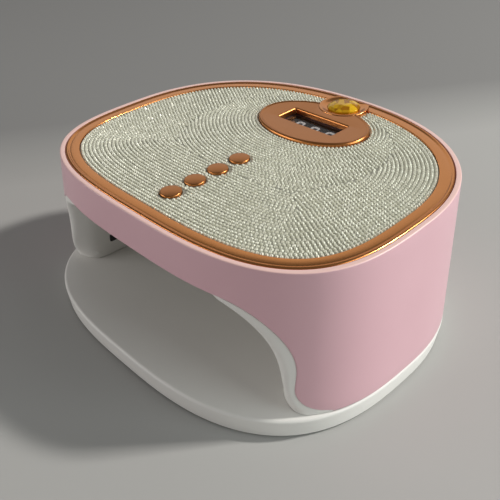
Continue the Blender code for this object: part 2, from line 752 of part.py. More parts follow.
def mouth_lip():
    """Part of the liner that comes forward through the shell's arch, nearly flush with its face."""
    inner = SHELL_WALL + GAP + LINER_WALL / 2
    wall = loft([wall_at_height(LIP_SETBACK, SHELL_BOTTOM), wall_at_height(LIP_SETBACK, ARCH_TOP),
                 wall_at_height(inner, ARCH_TOP), wall_at_height(inner, SHELL_BOTTOM)], closed=True)
    lip = tool("lip", wall)
    combine(lip, tool("lip_arch", arch_cutter(GAP)), "INTERSECT")
    return lip


def screw_well(x, y):
    """Clearance hole for a case screw with a pocket for its head."""
    head = CASE_SCREW_RADIUS * SCREW_HEAD_RATIO + GAP
    bore = CASE_SCREW_RADIUS + GAP
    seat = LINER_BOTTOM + SCREW_HEAD_HEIGHT + GAP
    high = seat + FOOT_PLATE
    profile = [(0, 0), (head, 0), (head, seat), (bore, seat), (bore, high), (0, high)]
    return moved(turned(profile, SMALL_STEPS), upright(x, y))


def make_inner_shell():
    liner = piece("inner_shell", tunnel_solid(LINER_WALL), WHITE)
    middle = SHELL_WALL + GAP + LINER_WALL / 2
    body = loft([wall_at_height(middle, LINER_BOTTOM), wall_at_height(middle, SKIRT_TOP)])
    combine(liner, tool("liner_body", body), "INTERSECT")
    combine(liner, skirt_front(), "UNION")
    combine(liner, mouth_lip(), "UNION")
    foot = loft([wall_at_height(middle, LINER_BOTTOM), wall_at_height(middle, LINER_BOTTOM + FOOT_PLATE)])
    join(liner, "foot_plate", foot)
    join(liner, "power_posts", gathered(power_post(x) for x in POWER_SCREWS))
    cut(liner, "tunnel_space", tunnel_solid(0.0))
    wells = [screw_well(*place) for place in CASE_SCREWS]
    magnet_seat = LINER_BOTTOM + MAGNET_THICKNESS + GAP
    pin_room = BASE_TOP + PIN_HEIGHT + GAP
    wells += [moved(cylinder(MAGNET_RADIUS + GAP, 0.0, magnet_seat, ROUND_STEPS), upright(*place))
              for place in MAGNETS]
    wells += [moved(cylinder(PIN_RADIUS + GAP, 0.0, pin_room), upright(*place)) for place in PINS]
    cut(liner, "foot_wells", gathered(wells))
    holes = []
    for frame, rows in LED_BOARDS.values():
        for along, across in led_places(rows):
            hole = cylinder(LED_RADIUS + GAP, -4 * LED_REACH, LINER_WALL + LED_REACH)
            holes.append(moved(hole, frame @ upright(along, across)))
    for frame in SENSORS.values():
        slot = rounded_rectangle(SENSOR_LENGTH + 2 * GAP, SENSOR_WIDTH + 2 * GAP, WINDOW_CORNER)
        holes.append(moved(prism(slot, -2 * LINER_WALL, 2 * LINER_WALL), frame))
    cut(liner, "led_holes", gathered(holes))


# Trim, panel, display and jewel

def bead_inside(name, inward):
    """Upright block of the plan inside a given distance from the rim's outer edge."""
    plan = inset(RIM_OUTLINE, inward)
    return tool(name, loft([under_rim(plan, -BEYOND), under_rim(plan, BEYOND)]))


def setting_cutter(name):
    """Block of the setting's round plan with its clearance, kept inside the trim's bead."""
    block = tool(name, on_rim(cylinder(SETTING_RADIUS + GAP, -BEYOND, BEYOND, ROUND_STEPS), 0, JEWEL_Y))
    combine(block, bead_inside(name + "_limit", BEAD_INNER + GROOVE_WIDTH / 2), "INTERSECT")
    return block


def make_trim_ring():
    half = BEAD_WIDTH / 2
    profile = [(TRIM_OUTER, SEAT_LEVEL)]
    for turn in np.linspace(0.0, math.pi, FILLET_STEPS):
        inward = TRIM_OUTER + half - half * math.cos(turn)
        profile.append((inward, BEAD_FOOT + BEAD_HEIGHT * math.sin(turn)))
    profile += [(BEAD_INNER, BAND_LEVEL - GROOVE_DEPTH), (BAND_OUTER, BAND_LEVEL - GROOVE_DEPTH),
                (BAND_OUTER, BAND_LEVEL), (BAND_INNER - BAND_EDGE, BAND_LEVEL),
                (BAND_INNER, BAND_LEVEL - BAND_EDGE), (BAND_INNER, SEAT_LEVEL)]
    rings = [under_rim(inset(RIM_OUTLINE, inward), level) for inward, level in profile]
    ring = piece("trim_ring", loft(rings, closed=True), ROSE_GOLD)
    combine(ring, setting_cutter("trim_notch"), "DIFFERENCE")


def bezel_outline(inward):
    return oval(BEZEL_HALF_WIDTH - inward, BEZEL_HALF_DEPTH - inward, OVAL_POINTS)


def stone_ridges():
    """Ridges one within the other, from the panel's edge to its middle, let into the plate."""
    plan = inset(RIM_OUTLINE, PANEL_EDGE + RIDGE_RISE)[::2]
    middle = (plan.max(axis=0) + plan.min(axis=0)) / 2
    profile = [(0.0, PANEL_TOP - RIDGE_FOOT)]
    for k in range(RIDGE_COUNT):
        profile += [(k + 0.5, PANEL_TOP + RIDGE_RISE), (k + 1.0, PANEL_TOP + RIDGE_FOOT)]
    return loft([under_rim(plan + (middle - plan) * step / (RIDGE_COUNT + 0.5), level)
                 for step, level in profile])


def make_crystal_panel():
    plan = inset(RIM_OUTLINE, PANEL_EDGE)
    plate = loft([under_rim(plan, SEAT_LEVEL), under_rim(plan, PANEL_TOP)])
    panel = piece("crystal_panel", plate, CRYSTAL)
    join(panel, "stone_ridges", stone_ridges())
    holes = [on_rim(cylinder(BUTTON_HOLE, -BEYOND, BEYOND, ROUND_STEPS), 0, y) for y in BUTTON_YS]
    cut(panel, "button_holes", gathered(holes))
    cut(panel, "bezel_hole", on_rim(prism(bezel_outline(-GAP), -BEYOND, BEYOND), 0, DISPLAY_Y))
    setting = cylinder(SETTING_RADIUS + GAP, -BEYOND, BEYOND, ROUND_STEPS)
    cut(panel, "setting_hole", on_rim(setting, 0, JEWEL_Y))


def make_display_bezel():
    """Oval plate with a raised round rim, a chamfered window and a bite for the jewel's setting."""
    half = BEZEL_RIM_WIDTH / 2
    crest = BEZEL_LEVEL + BEZEL_RIM_RISE
    profile = [(0.0, SEAT_LEVEL), (0.0, crest - half)]
    for turn in np.linspace(0.0, math.pi / 2, FILLET_STEPS)[1:]:
        profile.append((half - half * math.cos(turn), crest - half + half * math.sin(turn)))
    profile += [(half * 1.5, crest - BEZEL_RIM_RISE / 4), (BEZEL_RIM_WIDTH, BEZEL_LEVEL)]
    rings = [at_height(bezel_outline(inward), level) for inward, level in profile]
    plate = moved(loft(rings), along_rim())
    bezel = piece("display_bezel", plate, ROSE_GOLD, location=rim_place(0, DISPLAY_Y))
    window = rounded_rectangle(WINDOW_WIDTH, WINDOW_DEPTH, WINDOW_CORNER)
    wide = rounded_rectangle(WINDOW_WIDTH + 4 * WINDOW_CHAMFER, WINDOW_DEPTH + 4 * WINDOW_CHAMFER,
                             WINDOW_CORNER + 2 * WINDOW_CHAMFER)
    mouth = loft([at_height(window, -BEYOND), at_height(window, BEZEL_LEVEL - WINDOW_CHAMFER),
                  at_height(wide, BEZEL_LEVEL + WINDOW_CHAMFER)])
    cut(bezel, "window_mouth", on_rim(mouth, 0, DISPLAY_Y))
    combine(bezel, setting_cutter("bezel_bite"), "DIFFERENCE")


def make_display():
    """Smoked lens flush with the deck, over a module with one well for each digit."""
    lens_low = LENS_TOP - LENS_THICKNESS
    lens = prism(rounded_rectangle(LENS_WIDTH, LENS_DEPTH, WINDOW_CORNER), lens_low, LENS_TOP)
    piece("display_window", moved(lens, along_rim()), SMOKED, location=rim_place(0, DISPLAY_Y))
    low = BOARD_TOP + GAP
    high = lens_low - GAP
    block = prism(rounded_rectangle(WINDOW_WIDTH, WINDOW_DEPTH, WINDOW_CORNER), low, high)
    module = piece("display_module", moved(block, along_rim()), BLACK, location=rim_place(0, DISPLAY_Y))
    well = rounded_rectangle(DIGIT_WIDTH, DIGIT_HEIGHT, WINDOW_CORNER)
    wells = []
    for k in range(DIGIT_COUNT):
        x = (k - (DIGIT_COUNT - 1) / 2) * DIGIT_PITCH
        shape = prism(well, high - DIGIT_WELL, high + DIGIT_WELL)
        wells.append(on_rim(moved(shape, upright(x, 0)), 0, DISPLAY_Y))
    cut(module, "digit_wells", gathered(wells))


def make_setting():
    """Turned dish with a rolled rim and a pocket for the jewel."""
    half = SETTING_RIM_WIDTH / 2
    profile = [(0, SEAT_LEVEL), (SETTING_RADIUS, SEAT_LEVEL), (SETTING_RADIUS, SETTING_LEVEL - half)]
    for turn in np.linspace(0.0, math.pi / 2, FILLET_STEPS)[1:]:
        profile.append((SETTING_RADIUS - half + half * math.cos(turn),
                        SETTING_LEVEL - half + half * math.sin(turn)))
    pocket = JEWEL_RADIUS + GAP
    profile += [(SETTING_RADIUS - 2 * half, SETTING_LEVEL - half / 4), (pocket + half / 2, JEWEL_SEAT),
                (pocket, JEWEL_SEAT), (pocket, JEWEL_SEAT - SEAT_DEPTH), (0, JEWEL_SEAT - SEAT_DEPTH)]
    dish = moved(turned(profile, RING_STEPS), along_rim())
    setting = piece("jewel_setting", dish, ROSE_GOLD, location=rim_place(0, JEWEL_Y))
    combine(setting, bead_inside("setting_limit", BAND_OUTER), "INTERSECT")


def make_jewel():
    """Cut stone: the hull of a round girdle, a break line and a table, each with fewer corners."""
    low = JEWEL_SEAT - SEAT_DEPTH + GAP
    girdle = low + JEWEL_GIRDLE
    table = girdle + JEWEL_CROWN
    facets = JEWEL_FACETS
    levels = [(JEWEL_RADIUS, low, 2 * facets), (JEWEL_RADIUS, girdle, 2 * facets),
              (JEWEL_RADIUS - BREAK_INSET, table - BREAK_DROP, facets),
              (JEWEL_RADIUS - TABLE_INSET, table, facets // 2)]
    bm = bmesh.new()
    for radius, level, count in levels:
        for x, y in oval(radius, radius, count):
            bm.verts.new((x, y, level))
    bmesh.ops.convex_hull(bm, input=bm.verts)
    jewel = piece("jewel", moved(bm, along_rim()), AMBER, location=rim_place(0, JEWEL_Y))
    jewel.data.shade_flat()


# Buttons, switches and the control board

def make_buttons():
    cap = [(0, FLANGE_UNDERSIDE), (FLANGE_RADIUS, FLANGE_UNDERSIDE), (FLANGE_RADIUS, FLANGE_TOP),
           (BUTTON_RADIUS, FLANGE_TOP)]
    for turn in np.linspace(0.0, math.pi / 2, CORNER_STEPS + 1):
        cap.append((BUTTON_RADIUS - BUTTON_BEVEL + BUTTON_BEVEL * math.cos(turn),
                    BUTTON_LEVEL - BUTTON_BEVEL + BUTTON_BEVEL * math.sin(turn)))
    cap.append((0, BUTTON_LEVEL + BUTTON_CROWN))
    switch_outline = rounded_rectangle(SWITCH_WIDTH, SWITCH_WIDTH, WINDOW_CORNER)
    plunger_foot = SWITCH_TOP - PLUNGER_GUIDE
    hole_foot = plunger_foot - BUTTON_TRAVEL - GAP
    for k, y in enumerate(BUTTON_YS, 1):
        place = rim_place(0, y)
        piece(f"timer_button_{k}", moved(turned(cap, ROUND_STEPS), along_rim()), ROSE_GOLD, location=place)
        stem = cylinder(PLUNGER_RADIUS, plunger_foot, PLUNGER_TOP)
        piece(f"switch_plunger_{k}", moved(stem, along_rim()), BLACK, location=place)
        block = prism(switch_outline, SWITCH_TOP - SWITCH_HEIGHT, SWITCH_TOP)
        switch = piece(f"switch_body_{k}", moved(block, along_rim()), STEEL, location=place)
        cut(switch, f"plunger_hole_{k}", on_rim(cylinder(PLUNGER_RADIUS + GAP, hole_foot, BEYOND), 0, y))


def make_control_board():
    plate = prism(rounded_rectangle(2 * BOARD_HALF_WIDTH, BOARD_BACK - BOARD_FRONT, BOARD_CORNER),
                  BOARD_UNDERSIDE, BOARD_TOP)
    board = piece("control_board", moved(plate, along_rim()), BOARD, location=rim_place(0, BOARD_MIDDLE))
    holes = [on_rim(cylinder(BOARD_SCREW_RADIUS + GAP, -BEYOND, BEYOND), *place) for place in BOARD_SCREWS]
    cut(board, "board_screw_holes", gathered(holes))
    for k, (x, y) in enumerate(BOARD_SCREWS, 1):
        place = rim_place(x, y) + Vector((0, 0, BOARD_UNDERSIDE - GAP))
        screw = moved(screw_shape(BOARD_SCREW_RADIUS, BOARD_SCREW_LENGTH), along_rim())
        piece(f"board_screw_{k}", screw, STEEL, location=place)


def make_case_screws():
    for k, (x, y) in enumerate(CASE_SCREWS, 1):
        piece(f"case_screw_{k}", screw_shape(CASE_SCREW_RADIUS, CASE_SCREW_LENGTH), STEEL,
              location=(x, y, LINER_BOTTOM + SCREW_HEAD_HEIGHT))


# LED boards, sensors and power inlet

def make_led_boards():
    low = LINER_WALL + GAP
    root = low + BOARD_THICKNESS / 2
    lamp = [(LED_RADIUS * math.sin(turn), LED_DOME - LED_DOME * math.cos(turn) - LED_REACH)
            for turn in np.linspace(0.0, math.pi / 2, CORNER_STEPS + 1)]
    lamp += [(LED_RADIUS, root), (0, root)]
    for name, (frame, rows) in LED_BOARDS.items():
        length = (LED_COLUMNS - 1) * LED_PITCH_ALONG + 2 * LED_BOARD_MARGIN
        width = (rows - 1) * LED_PITCH_ACROSS + 2 * LED_BOARD_MARGIN
        plate = prism(rounded_rectangle(length, width, BOARD_CORNER), low, low + BOARD_THICKNESS)
        board = piece(name, moved(plate, frame), LED_WHITE)
        lamps = [moved(turned(lamp, SMALL_STEPS), frame @ upright(along, across))
                 for along, across in led_places(rows)]
        join(board, name + "_lamps", gathered(lamps))


def make_sensors():
    low = LINER_WALL + GAP
    window = rounded_rectangle(SENSOR_LENGTH, SENSOR_WIDTH, WINDOW_CORNER)
    back = rounded_rectangle(SENSOR_LENGTH + 2 * SENSOR_FLANGE, SENSOR_WIDTH + 2 * SENSOR_FLANGE,
                             WINDOW_CORNER)
    for name, frame in SENSORS.items():
        sensor = loft([at_height(window, -SENSOR_PROUD), at_height(window, low), at_height(back, low),
                       at_height(back, low + SENSOR_FLANGE)])
        piece(name, moved(sensor, frame), BLACK)


INLET_FRONT = back_face(INLET_HEIGHT + INLET_BODY / 2) - SHELL_WALL - GAP - INLET_LENGTH
POWER_BOARD_Y = back_face(INLET_HEIGHT) - SHELL_WALL - WALL_LEAN - POWER_BOARD_DEPTH / 2
POWER_SCREWS = [side * (POWER_BOARD_WIDTH / 2 - BOARD_SCREW_INSET) for side in (-1, 1)]


def power_post(x):
    """Screw post for the power board, on the foot plate."""
    bore = BOARD_SCREW_RADIUS + GAP
    post = tube(bore + BOSS_WALL, bore, LINER_BOTTOM + FOOT_PLATE / 2, POWER_BOARD_LOW - GAP)
    return moved(post, upright(x, POWER_BOARD_Y))


def make_power_board():
    high = POWER_BOARD_LOW + BOARD_THICKNESS
    outline = rounded_rectangle(POWER_BOARD_WIDTH, POWER_BOARD_DEPTH, BOARD_CORNER)
    board = piece("power_board", prism(outline, POWER_BOARD_LOW, high), BOARD, location=(0, POWER_BOARD_Y, 0))
    holes = [moved(cylinder(BOARD_SCREW_RADIUS + GAP, 0.0, 2 * BEYOND), upright(x, POWER_BOARD_Y))
             for x in POWER_SCREWS]
    cut(board, "power_screw_holes", gathered(holes))
    head_up = Matrix.Rotation(math.pi, 4, "X")
    for k, x in enumerate(POWER_SCREWS, 1):
        screw = moved(screw_shape(BOARD_SCREW_RADIUS, BOARD_SCREW_LENGTH), head_up)
        piece(f"power_screw_{k}", screw, STEEL, location=(x, POWER_BOARD_Y, high + GAP))


def make_power_inlet():
    """Block with a round nose in the shell's wall, a bore and its centre pin."""
    middle = INLET_FRONT + INLET_LENGTH / 2
    block = box(INLET_BODY, INLET_LENGTH, -INLET_BODY / 2, INLET_BODY / 2)
    inlet = piece("power_inlet", moved(block, upright(0, middle, INLET_HEIGHT)), BLACK)
    face = back_face(INLET_HEIGHT) - INLET_SETBACK
    nose = cylinder(INLET_NOSE_RADIUS, 0.0, face - middle, ROUND_STEPS)
    join(inlet, "inlet_nose", facing_back(nose, middle, INLET_HEIGHT))
    pin_tip = INLET_BORE_DEPTH - INLET_PIN_RADIUS
    bore = turned([(0, pin_tip), (INLET_PIN_RADIUS, pin_tip - INLET_PIN_RADIUS), (INLET_PIN_RADIUS, 0),
                   (INLET_BORE_RADIUS, 0), (INLET_BORE_RADIUS, BEYOND), (0, BEYOND)], SMALL_STEPS)
    cut(inlet, "inlet_bore", facing_back(bore, face - INLET_BORE_DEPTH, INLET_HEIGHT))


# Base plate

def base_plan(inward):
    plan = plan_outline(BASE_HALF_WIDTH, BASE_FRONT_REACH, BASE_REAR_REACH, BASE_FRONT_POWER)
    return inset(plan, inward)


def standing(shape_at, places):
    """One tool from copies of a shape that stand at several places."""
    return gathered(moved(shape_at(), upright(*place)) for place in places)


def base_tray():
    """Plate with a rolled upper edge, tapered sides and a hollow underside."""
    rings = []
    for turn in np.linspace(0.0, math.pi / 2, CORNER_STEPS + 1):
        rings.append(at_height(base_plan(BASE_EDGE - BASE_EDGE * math.sin(turn)),
                               BASE_TOP - BASE_EDGE + BASE_EDGE * math.cos(turn)))
    rings += [at_height(base_plan(BASE_TAPER), FOOT_LIFT),
              at_height(base_plan(BASE_TAPER + BASE_SKIN), FOOT_LIFT),
              at_height(base_plan(BASE_EDGE + BASE_SKIN), BASE_TOP - BASE_SKIN)]
    return loft(rings)


def base_ribs(low, high):
    """Ribs between the feet's bosses."""
    across = 2 * (FOOT_X - FOOT_RADIUS)
    along = FOOT_BACK_Y - FOOT_FRONT_Y - 2 * FOOT_RADIUS
    middle = (FOOT_BACK_Y + FOOT_FRONT_Y) / 2
    ribs = [moved(box(across, BASE_RIB, low, high), upright(0, y)) for y in (FOOT_FRONT_Y, FOOT_BACK_Y)]
    ribs += [moved(box(BASE_RIB, along, low, high), upright(x, middle)) for x in (-FOOT_X, FOOT_X)]
    return gathered(ribs)


def make_base_plate():
    """Shallow tray with ribs, bosses for the feet and magnets, and two locating pins."""
    plate = piece("base_plate", base_tray(), WHITE, BASE)
    skin = BASE_TOP - BASE_SKIN / 2
    foot_boss = FOOT_RADIUS + FOOT_RIM
    join(plate, "foot_bosses", standing(
        lambda: cylinder(foot_boss, FOOT_THICKNESS + GAP, skin, ROUND_STEPS), FEET))
    pocket = MAGNET_RADIUS + GAP
    boss_low = BASE_TOP - MAGNET_THICKNESS - BASE_SKIN
    join(plate, "magnet_bosses", standing(
        lambda: cylinder(pocket + MAGNET_BOSS_WALL, boss_low, skin, ROUND_STEPS), MAGNETS))
    join(plate, "base_ribs", base_ribs(BASE_TOP - BASE_SKIN - BASE_RIB_DEPTH, skin))
    tip = BASE_TOP + PIN_HEIGHT
    pin = [(0, skin), (PIN_RADIUS, skin), (PIN_RADIUS, tip - PIN_LEAD),
           (PIN_RADIUS - PIN_LEAD, tip), (0, tip)]
    join(plate, "locating_pins", standing(lambda: turned(pin, SMALL_STEPS), PINS))
    cut(plate, "magnet_pockets", standing(
        lambda: cylinder(pocket, BASE_TOP - MAGNET_THICKNESS - GAP, BASE_TOP + BEYOND, ROUND_STEPS), MAGNETS))


def make_feet_and_magnets():
    foot = [(0, 0), (FOOT_RADIUS - FOOT_LIFT, 0), (FOOT_RADIUS, FOOT_LIFT), (FOOT_RADIUS, FOOT_THICKNESS),
            (0, FOOT_THICKNESS)]
    for k, (x, y) in enumerate(FEET, 1):
        piece(f"rubber_foot_{k}", turned(foot, ROUND_STEPS), RUBBER, BASE, (x, y, 0))
    for side, (x, y) in zip(("left", "right"), MAGNETS):
        low = cylinder(MAGNET_RADIUS, -MAGNET_THICKNESS, 0, ROUND_STEPS)
        high = cylinder(MAGNET_RADIUS, 0, MAGNET_THICKNESS, ROUND_STEPS)
        piece(f"base_magnet_{side}", low, STEEL, BASE, (x, y, BASE_TOP))
        piece(f"head_magnet_{side}", high, STEEL, HEAD, (x, y, LINER_BOTTOM))


make_outer_shell()
make_inner_shell()
make_trim_ring()
make_crystal_panel()
make_display_bezel()
make_display()
make_setting()
make_jewel()
make_buttons()
make_control_board()
make_case_screws()
make_led_boards()
make_sensors()
make_power_board()
make_power_inlet()
make_base_plate()
make_feet_and_magnets()
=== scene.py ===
"""Looks of the nail lamp: fine shells, plated trim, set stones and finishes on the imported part.

Metres, +Z up, in the frame of the CAD part: +X to the right hand, +Y to the back.
"""
import math

import bmesh
import bpy
import numpy as np
from mathutils import Matrix, Vector
from mathutils.kdtree import KDTree


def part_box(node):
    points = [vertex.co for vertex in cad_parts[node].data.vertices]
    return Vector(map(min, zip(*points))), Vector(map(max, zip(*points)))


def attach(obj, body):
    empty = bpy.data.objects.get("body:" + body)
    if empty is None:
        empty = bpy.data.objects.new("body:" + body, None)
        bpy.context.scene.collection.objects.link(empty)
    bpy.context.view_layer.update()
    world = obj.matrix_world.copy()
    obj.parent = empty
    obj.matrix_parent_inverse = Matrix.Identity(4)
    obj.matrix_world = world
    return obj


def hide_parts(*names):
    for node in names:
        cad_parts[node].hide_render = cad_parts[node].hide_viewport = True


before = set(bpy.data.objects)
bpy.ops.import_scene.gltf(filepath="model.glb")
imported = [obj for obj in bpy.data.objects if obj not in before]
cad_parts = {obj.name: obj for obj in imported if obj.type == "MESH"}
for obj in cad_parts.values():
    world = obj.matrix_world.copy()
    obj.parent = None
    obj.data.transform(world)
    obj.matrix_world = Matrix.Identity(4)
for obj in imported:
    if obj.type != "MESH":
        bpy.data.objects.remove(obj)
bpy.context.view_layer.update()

MM = 0.001

# Plan and heights of the housing, as in the part
RIM_HALF_WIDTH = 110.0 * MM
RIM_FRONT_REACH = 86.0 * MM
RIM_REAR_REACH = 95.5 * MM
FRONT_POWER = 3.16
REAR_POWER = 2.3
WALL_LEAN = 5.0 * MM
RIM_HEIGHT = 95.1 * MM
RIM_SLOPE = 0.047
GAP = 0.3 * MM
SHELL_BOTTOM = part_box("outer_shell")[0].z
LINER_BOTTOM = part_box("inner_shell")[0].z
BASE_TOP = LINER_BOTTOM - GAP

# Outer shell
SHELL_WALL = 2.2 * MM
SHELL_EDGE = 0.7 * MM
LIP_WIDTH = 2.8 * MM
LIP_OUTER_EDGE = 0.7 * MM
LIP_INNER_EDGE = 0.25 * MM
# Painted highlight on the lip's top: it starts this far under the rim and fades in over this height
LIP_HIGHLIGHT_DROP = 0.5 * MM
LIP_HIGHLIGHT_FADE = 0.4 * MM
DECK_DROP = 3.0 * MM
DECK_THICKNESS = 2.0 * MM
DECK_CUT = (-12.0 * MM, 5.0 * MM)
ARCH_HALF_WIDTH = 95.0 * MM
ARCH_TOP = 71.5 * MM
ARCH_RADIUS = 35.0 * MM
LEG_RADIUS = 17.0 * MM
LEG_SWEEP = math.radians(72)
LEG_END_SHARE = 0.0015
EDGE_PULL = 0.6
FRONT_SHARES = (0.2, 0.5)
VENT_SIZE = (2.4 * MM, 16.0 * MM)
VENT_CORNER = 1.0 * MM
VENT_PITCH = 6.0 * MM
VENT_COUNT = 3
VENT_FIRST_X = 26.0 * MM
VENT_HEIGHT = 50.0 * MM
VENT_CUT = (-30.0 * MM, 30.0 * MM)

# Hand tunnel with its flared mouth, and liner
TUNNEL_HALF_WIDTH = 80.0 * MM
TUNNEL_RISE = 56.5 * MM
TUNNEL_POWER = 2.8
TUNNEL_NARROWING = 1.5 * MM
TUNNEL_FALL = 5.5 * MM
TUNNEL_BACK = 66.0 * MM
TUNNEL_ROUNDING = 14.0 * MM
TUNNEL_CROWDING = 1.6
MOUTH_BACK = -58.0 * MM
MOUTH_BEND = 7.0 * MM
MOUTH_SPREAD = 1.4
MOUTH_LIFT = 0.275
MOUTH_ROUNDING = 5.0 * MM
MOUTH_ROUNDING_SHARE = 0.6
FLARE_LIMITS = (-105.0 * MM, -40.0 * MM)
TOE_SPREAD = 0.8
TOE_HEIGHT = 20.0 * MM
MOUTH_LIP_SETBACK = 0.4 * MM
MOUTH_LIP_EDGE = 0.3 * MM
MOUTH_LIP_FADE = 3.0 * MM
SKIRT_DEPTH = SHELL_WALL + GAP
SKIRT_COVER = 3.0 * MM
LINER_WALL = 2.0 * MM
FOOT_PLATE = 4.0 * MM
FOOT_SHARE = 0.335
FOOT_INSIDE = 0.72

# Diodes and sensors in the tunnel
LED_RADIUS = 4.0 * MM
LED_REACH = 3.4 * MM
LED_DOME = 1.6 * MM
LED_BOARD_Y = -4.0 * MM
LED_PITCH_ALONG = 26.0 * MM
LED_PITCH_ACROSS = 22.0 * MM
LED_COLUMNS = 3
LED_BOARD_THICKNESS = 1.6 * MM
LED_BOARD_MARGIN = 8.0 * MM
LED_BOARD_CORNER = 3.0 * MM
LED_CUT = (-12.0 * MM, 6.0 * MM)
SIDE_BOARD_HEIGHT = 44.0 * MM
SENSOR_Y = -46.0 * MM
SENSOR_HEIGHT = 24.0 * MM
SENSOR_SIZE = (10.0 * MM, 5.0 * MM)
SENSOR_CUT = (-4.0 * MM, 4.0 * MM)

# Trim ring: bead, groove and band, as distances in from the rim's edge and levels from the rim
TRIM_OUTER = LIP_WIDTH + GAP
BEAD_WIDTH = 2.4 * MM
BEAD_HEIGHT = 0.6 * MM
BEAD_FOOT = -0.4 * MM
GROOVE_WIDTH = 0.5 * MM
GROOVE_DEPTH = 0.1 * MM
BAND_WIDTH = 5.0 * MM
BAND_LEVEL = -0.3 * MM
BAND_CROWN = 0.08 * MM
BAND_EDGE = 0.5 * MM
SEAT_LEVEL = -2.7 * MM
PANEL_LEVEL = -1.1 * MM
BEAD_INNER = TRIM_OUTER + BEAD_WIDTH
BAND_OUTER = BEAD_INNER + GROOVE_WIDTH
BAND_INNER = BAND_OUTER + BAND_WIDTH
PANEL_EDGE = BAND_INNER + GAP
RIM_CUT = (-20.0 * MM, 20.0 * MM)

# Set stones
STONE_PITCH = 2.18 * MM
STONE_RADIUS = 1.01 * MM
STONE_TABLE = 0.5 * MM
STONE_HEIGHT = 0.8 * MM
STONE_SIDES = 8
STONE_TILT = math.radians(6)
STONE_SEED = 7
FIRST_EDGE_ROW = PANEL_EDGE + STONE_RADIUS + 0.1 * MM
FIRST_BEZEL_ROW = GAP + 1.05 * STONE_RADIUS
EDGE_ROWS = 30
ROW_OVERLAP = 2 * STONE_PITCH
ROW_SLACK = 0.05 * MM
ROW_ROOM = 0.9
FILL_ROOM = 0.82

# Display, jewel and buttons
DISPLAY_Y = 49.5 * MM
BEZEL_HALF_WIDTH = 37.0 * MM
BEZEL_HALF_DEPTH = 26.3 * MM
BEZEL_LEVEL = 0.7 * MM
BEZEL_RIM_WIDTH = 2.4 * MM
BEZEL_RIM_RISE = 0.4 * MM
WINDOW_SIZE = (41.0 * MM, 16.0 * MM)
WINDOW_CORNER = 0.8 * MM
WINDOW_EDGE = 1.0 * MM
LENS_SIZE = (43.2 * MM, 18.2 * MM)
DIGIT_COUNT = 3
DIGIT_PITCH = 11.5 * MM
DIGIT_LEVEL = -5.7 * MM
DIGIT_BAR = (4.6 * MM, 1.1 * MM, 0.5 * MM)
DIGIT_BAR_CORNER = 0.495 * MM
DIGIT_BAR_GAP = 0.4 * MM
JEWEL_Y = 79.0 * MM
JEWEL_RADIUS = 10.0 * MM
SETTING_RADIUS = 15.5 * MM
SETTING_LEVEL = 1.1 * MM
SETTING_RIM_WIDTH = 1.0 * MM
SETTING_JOINT = 0.08 * MM
JEWEL_SEAT = 0.0 * MM
SEAT_DEPTH = 0.9 * MM
# Rings of the jewel's cut: distance in and height in millimetres, corners, and turn in corners
JEWEL_CUT = ((0.3, 0.0, 32, 0.0), (0.0, 0.4, 32, 0.0), (0.0, 1.4, 32, 0.0),
             (1.5, 2.5, 16, 0.5), (3.3, 3.3, 8, 0.5), (5.2, 3.8, 8, 0.0))
BUTTON_FRONT_Y = -59.1 * MM
BUTTON_PITCH = 15.9 * MM
BUTTON_COUNT = 4
BUTTON_RADIUS = 5.7 * MM
BUTTON_LEVEL = 0.2 * MM
BUTTON_CROWN = 0.3 * MM
BUTTON_BEVEL = 0.6 * MM
FLANGE_RADIUS = 7.3 * MM
FLANGE_TOP = -5.3 * MM
FLANGE_THICKNESS = 1.0 * MM

# Power inlet
INLET_BODY = 10.0 * MM
INLET_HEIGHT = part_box("power_inlet")[0].z + INLET_BODY / 2
INLET_NOSE_RADIUS = 4.0 * MM
INLET_BORE_RADIUS = 2.8 * MM
INLET_BORE_DEPTH = 9.0 * MM
INLET_PIN_RADIUS = 1.0 * MM
INLET_PIN_SETBACK = 1.0 * MM
INLET_EDGE = 0.4 * MM
INLET_LEAD = 0.3 * MM
INLET_CUT = (-15.0 * MM, 30.0 * MM)

# Base plate
BASE_HALF_WIDTH = 115.0 * MM
BASE_REACH = 100.5 * MM
BASE_FRONT_POWER = 2.88
BASE_FLOOR = 1.0 * MM
BASE_TAPER = 1.0 * MM
BASE_EDGE = 1.8 * MM
BASE_FOOT_EDGE = 0.4 * MM
BASE_SKIN = 2.5 * MM
BASE_RIB = 2.0 * MM
BASE_RIB_DEPTH = 5.0 * MM
BASE_RIB_CORNER = 0.25 * MM
FOOT_RIM = 1.5 * MM
MAGNET_BOSS_WALL = 2.0 * MM
PIN_X = 91.7 * MM
PIN_Y = -48.0 * MM
PIN_RADIUS = 2.5 * MM
PIN_HEIGHT = 3.2 * MM
PIN_LEAD = 0.9 * MM

# Mesh density
RIM_POINTS = 240
EDGE_POINTS = 480
FRONT_POINTS = 400
STRAIGHT_POINTS = 200
LEG_POINTS = 24
SHOULDER_POINTS = 40
ARCH_TOP_POINTS = 30
ARCH_POINTS = 65
FOOT_POINTS = 161
SECTION_POINTS = 300
ROUND_STEPS = 48
SETTING_STEPS = 96
LED_STEPS = 28
LED_HOLE_STEPS = 32
INLET_PIN_STEPS = 24
FINE = 2400
HALVINGS = 30
MERGE = 1e-7
SMOOTH_ANGLE = math.radians(32)


# Outlines

def rim_height(y):
    return RIM_HEIGHT + RIM_SLOPE * y


def quarter_turn(count):
    """Angles from 0 to a right angle."""
    return np.linspace(0.0, math.pi / 2, count)


def evenly(count):
    """Shares from 0 to 1."""
    return np.linspace(0.0, 1.0, count)


def eased(start, end, share):
    """A level on a soft slope from start to end."""
    return end + (start - end) * (1 + math.cos(math.pi * share)) / 2


def rounded_edge(radius, level, edge, count):
    """Radii and heights round an upper edge, from its side to its top."""
    return [(radius - edge + edge * math.cos(turn), level - edge + edge * math.sin(turn))
            for turn in quarter_turn(count)]


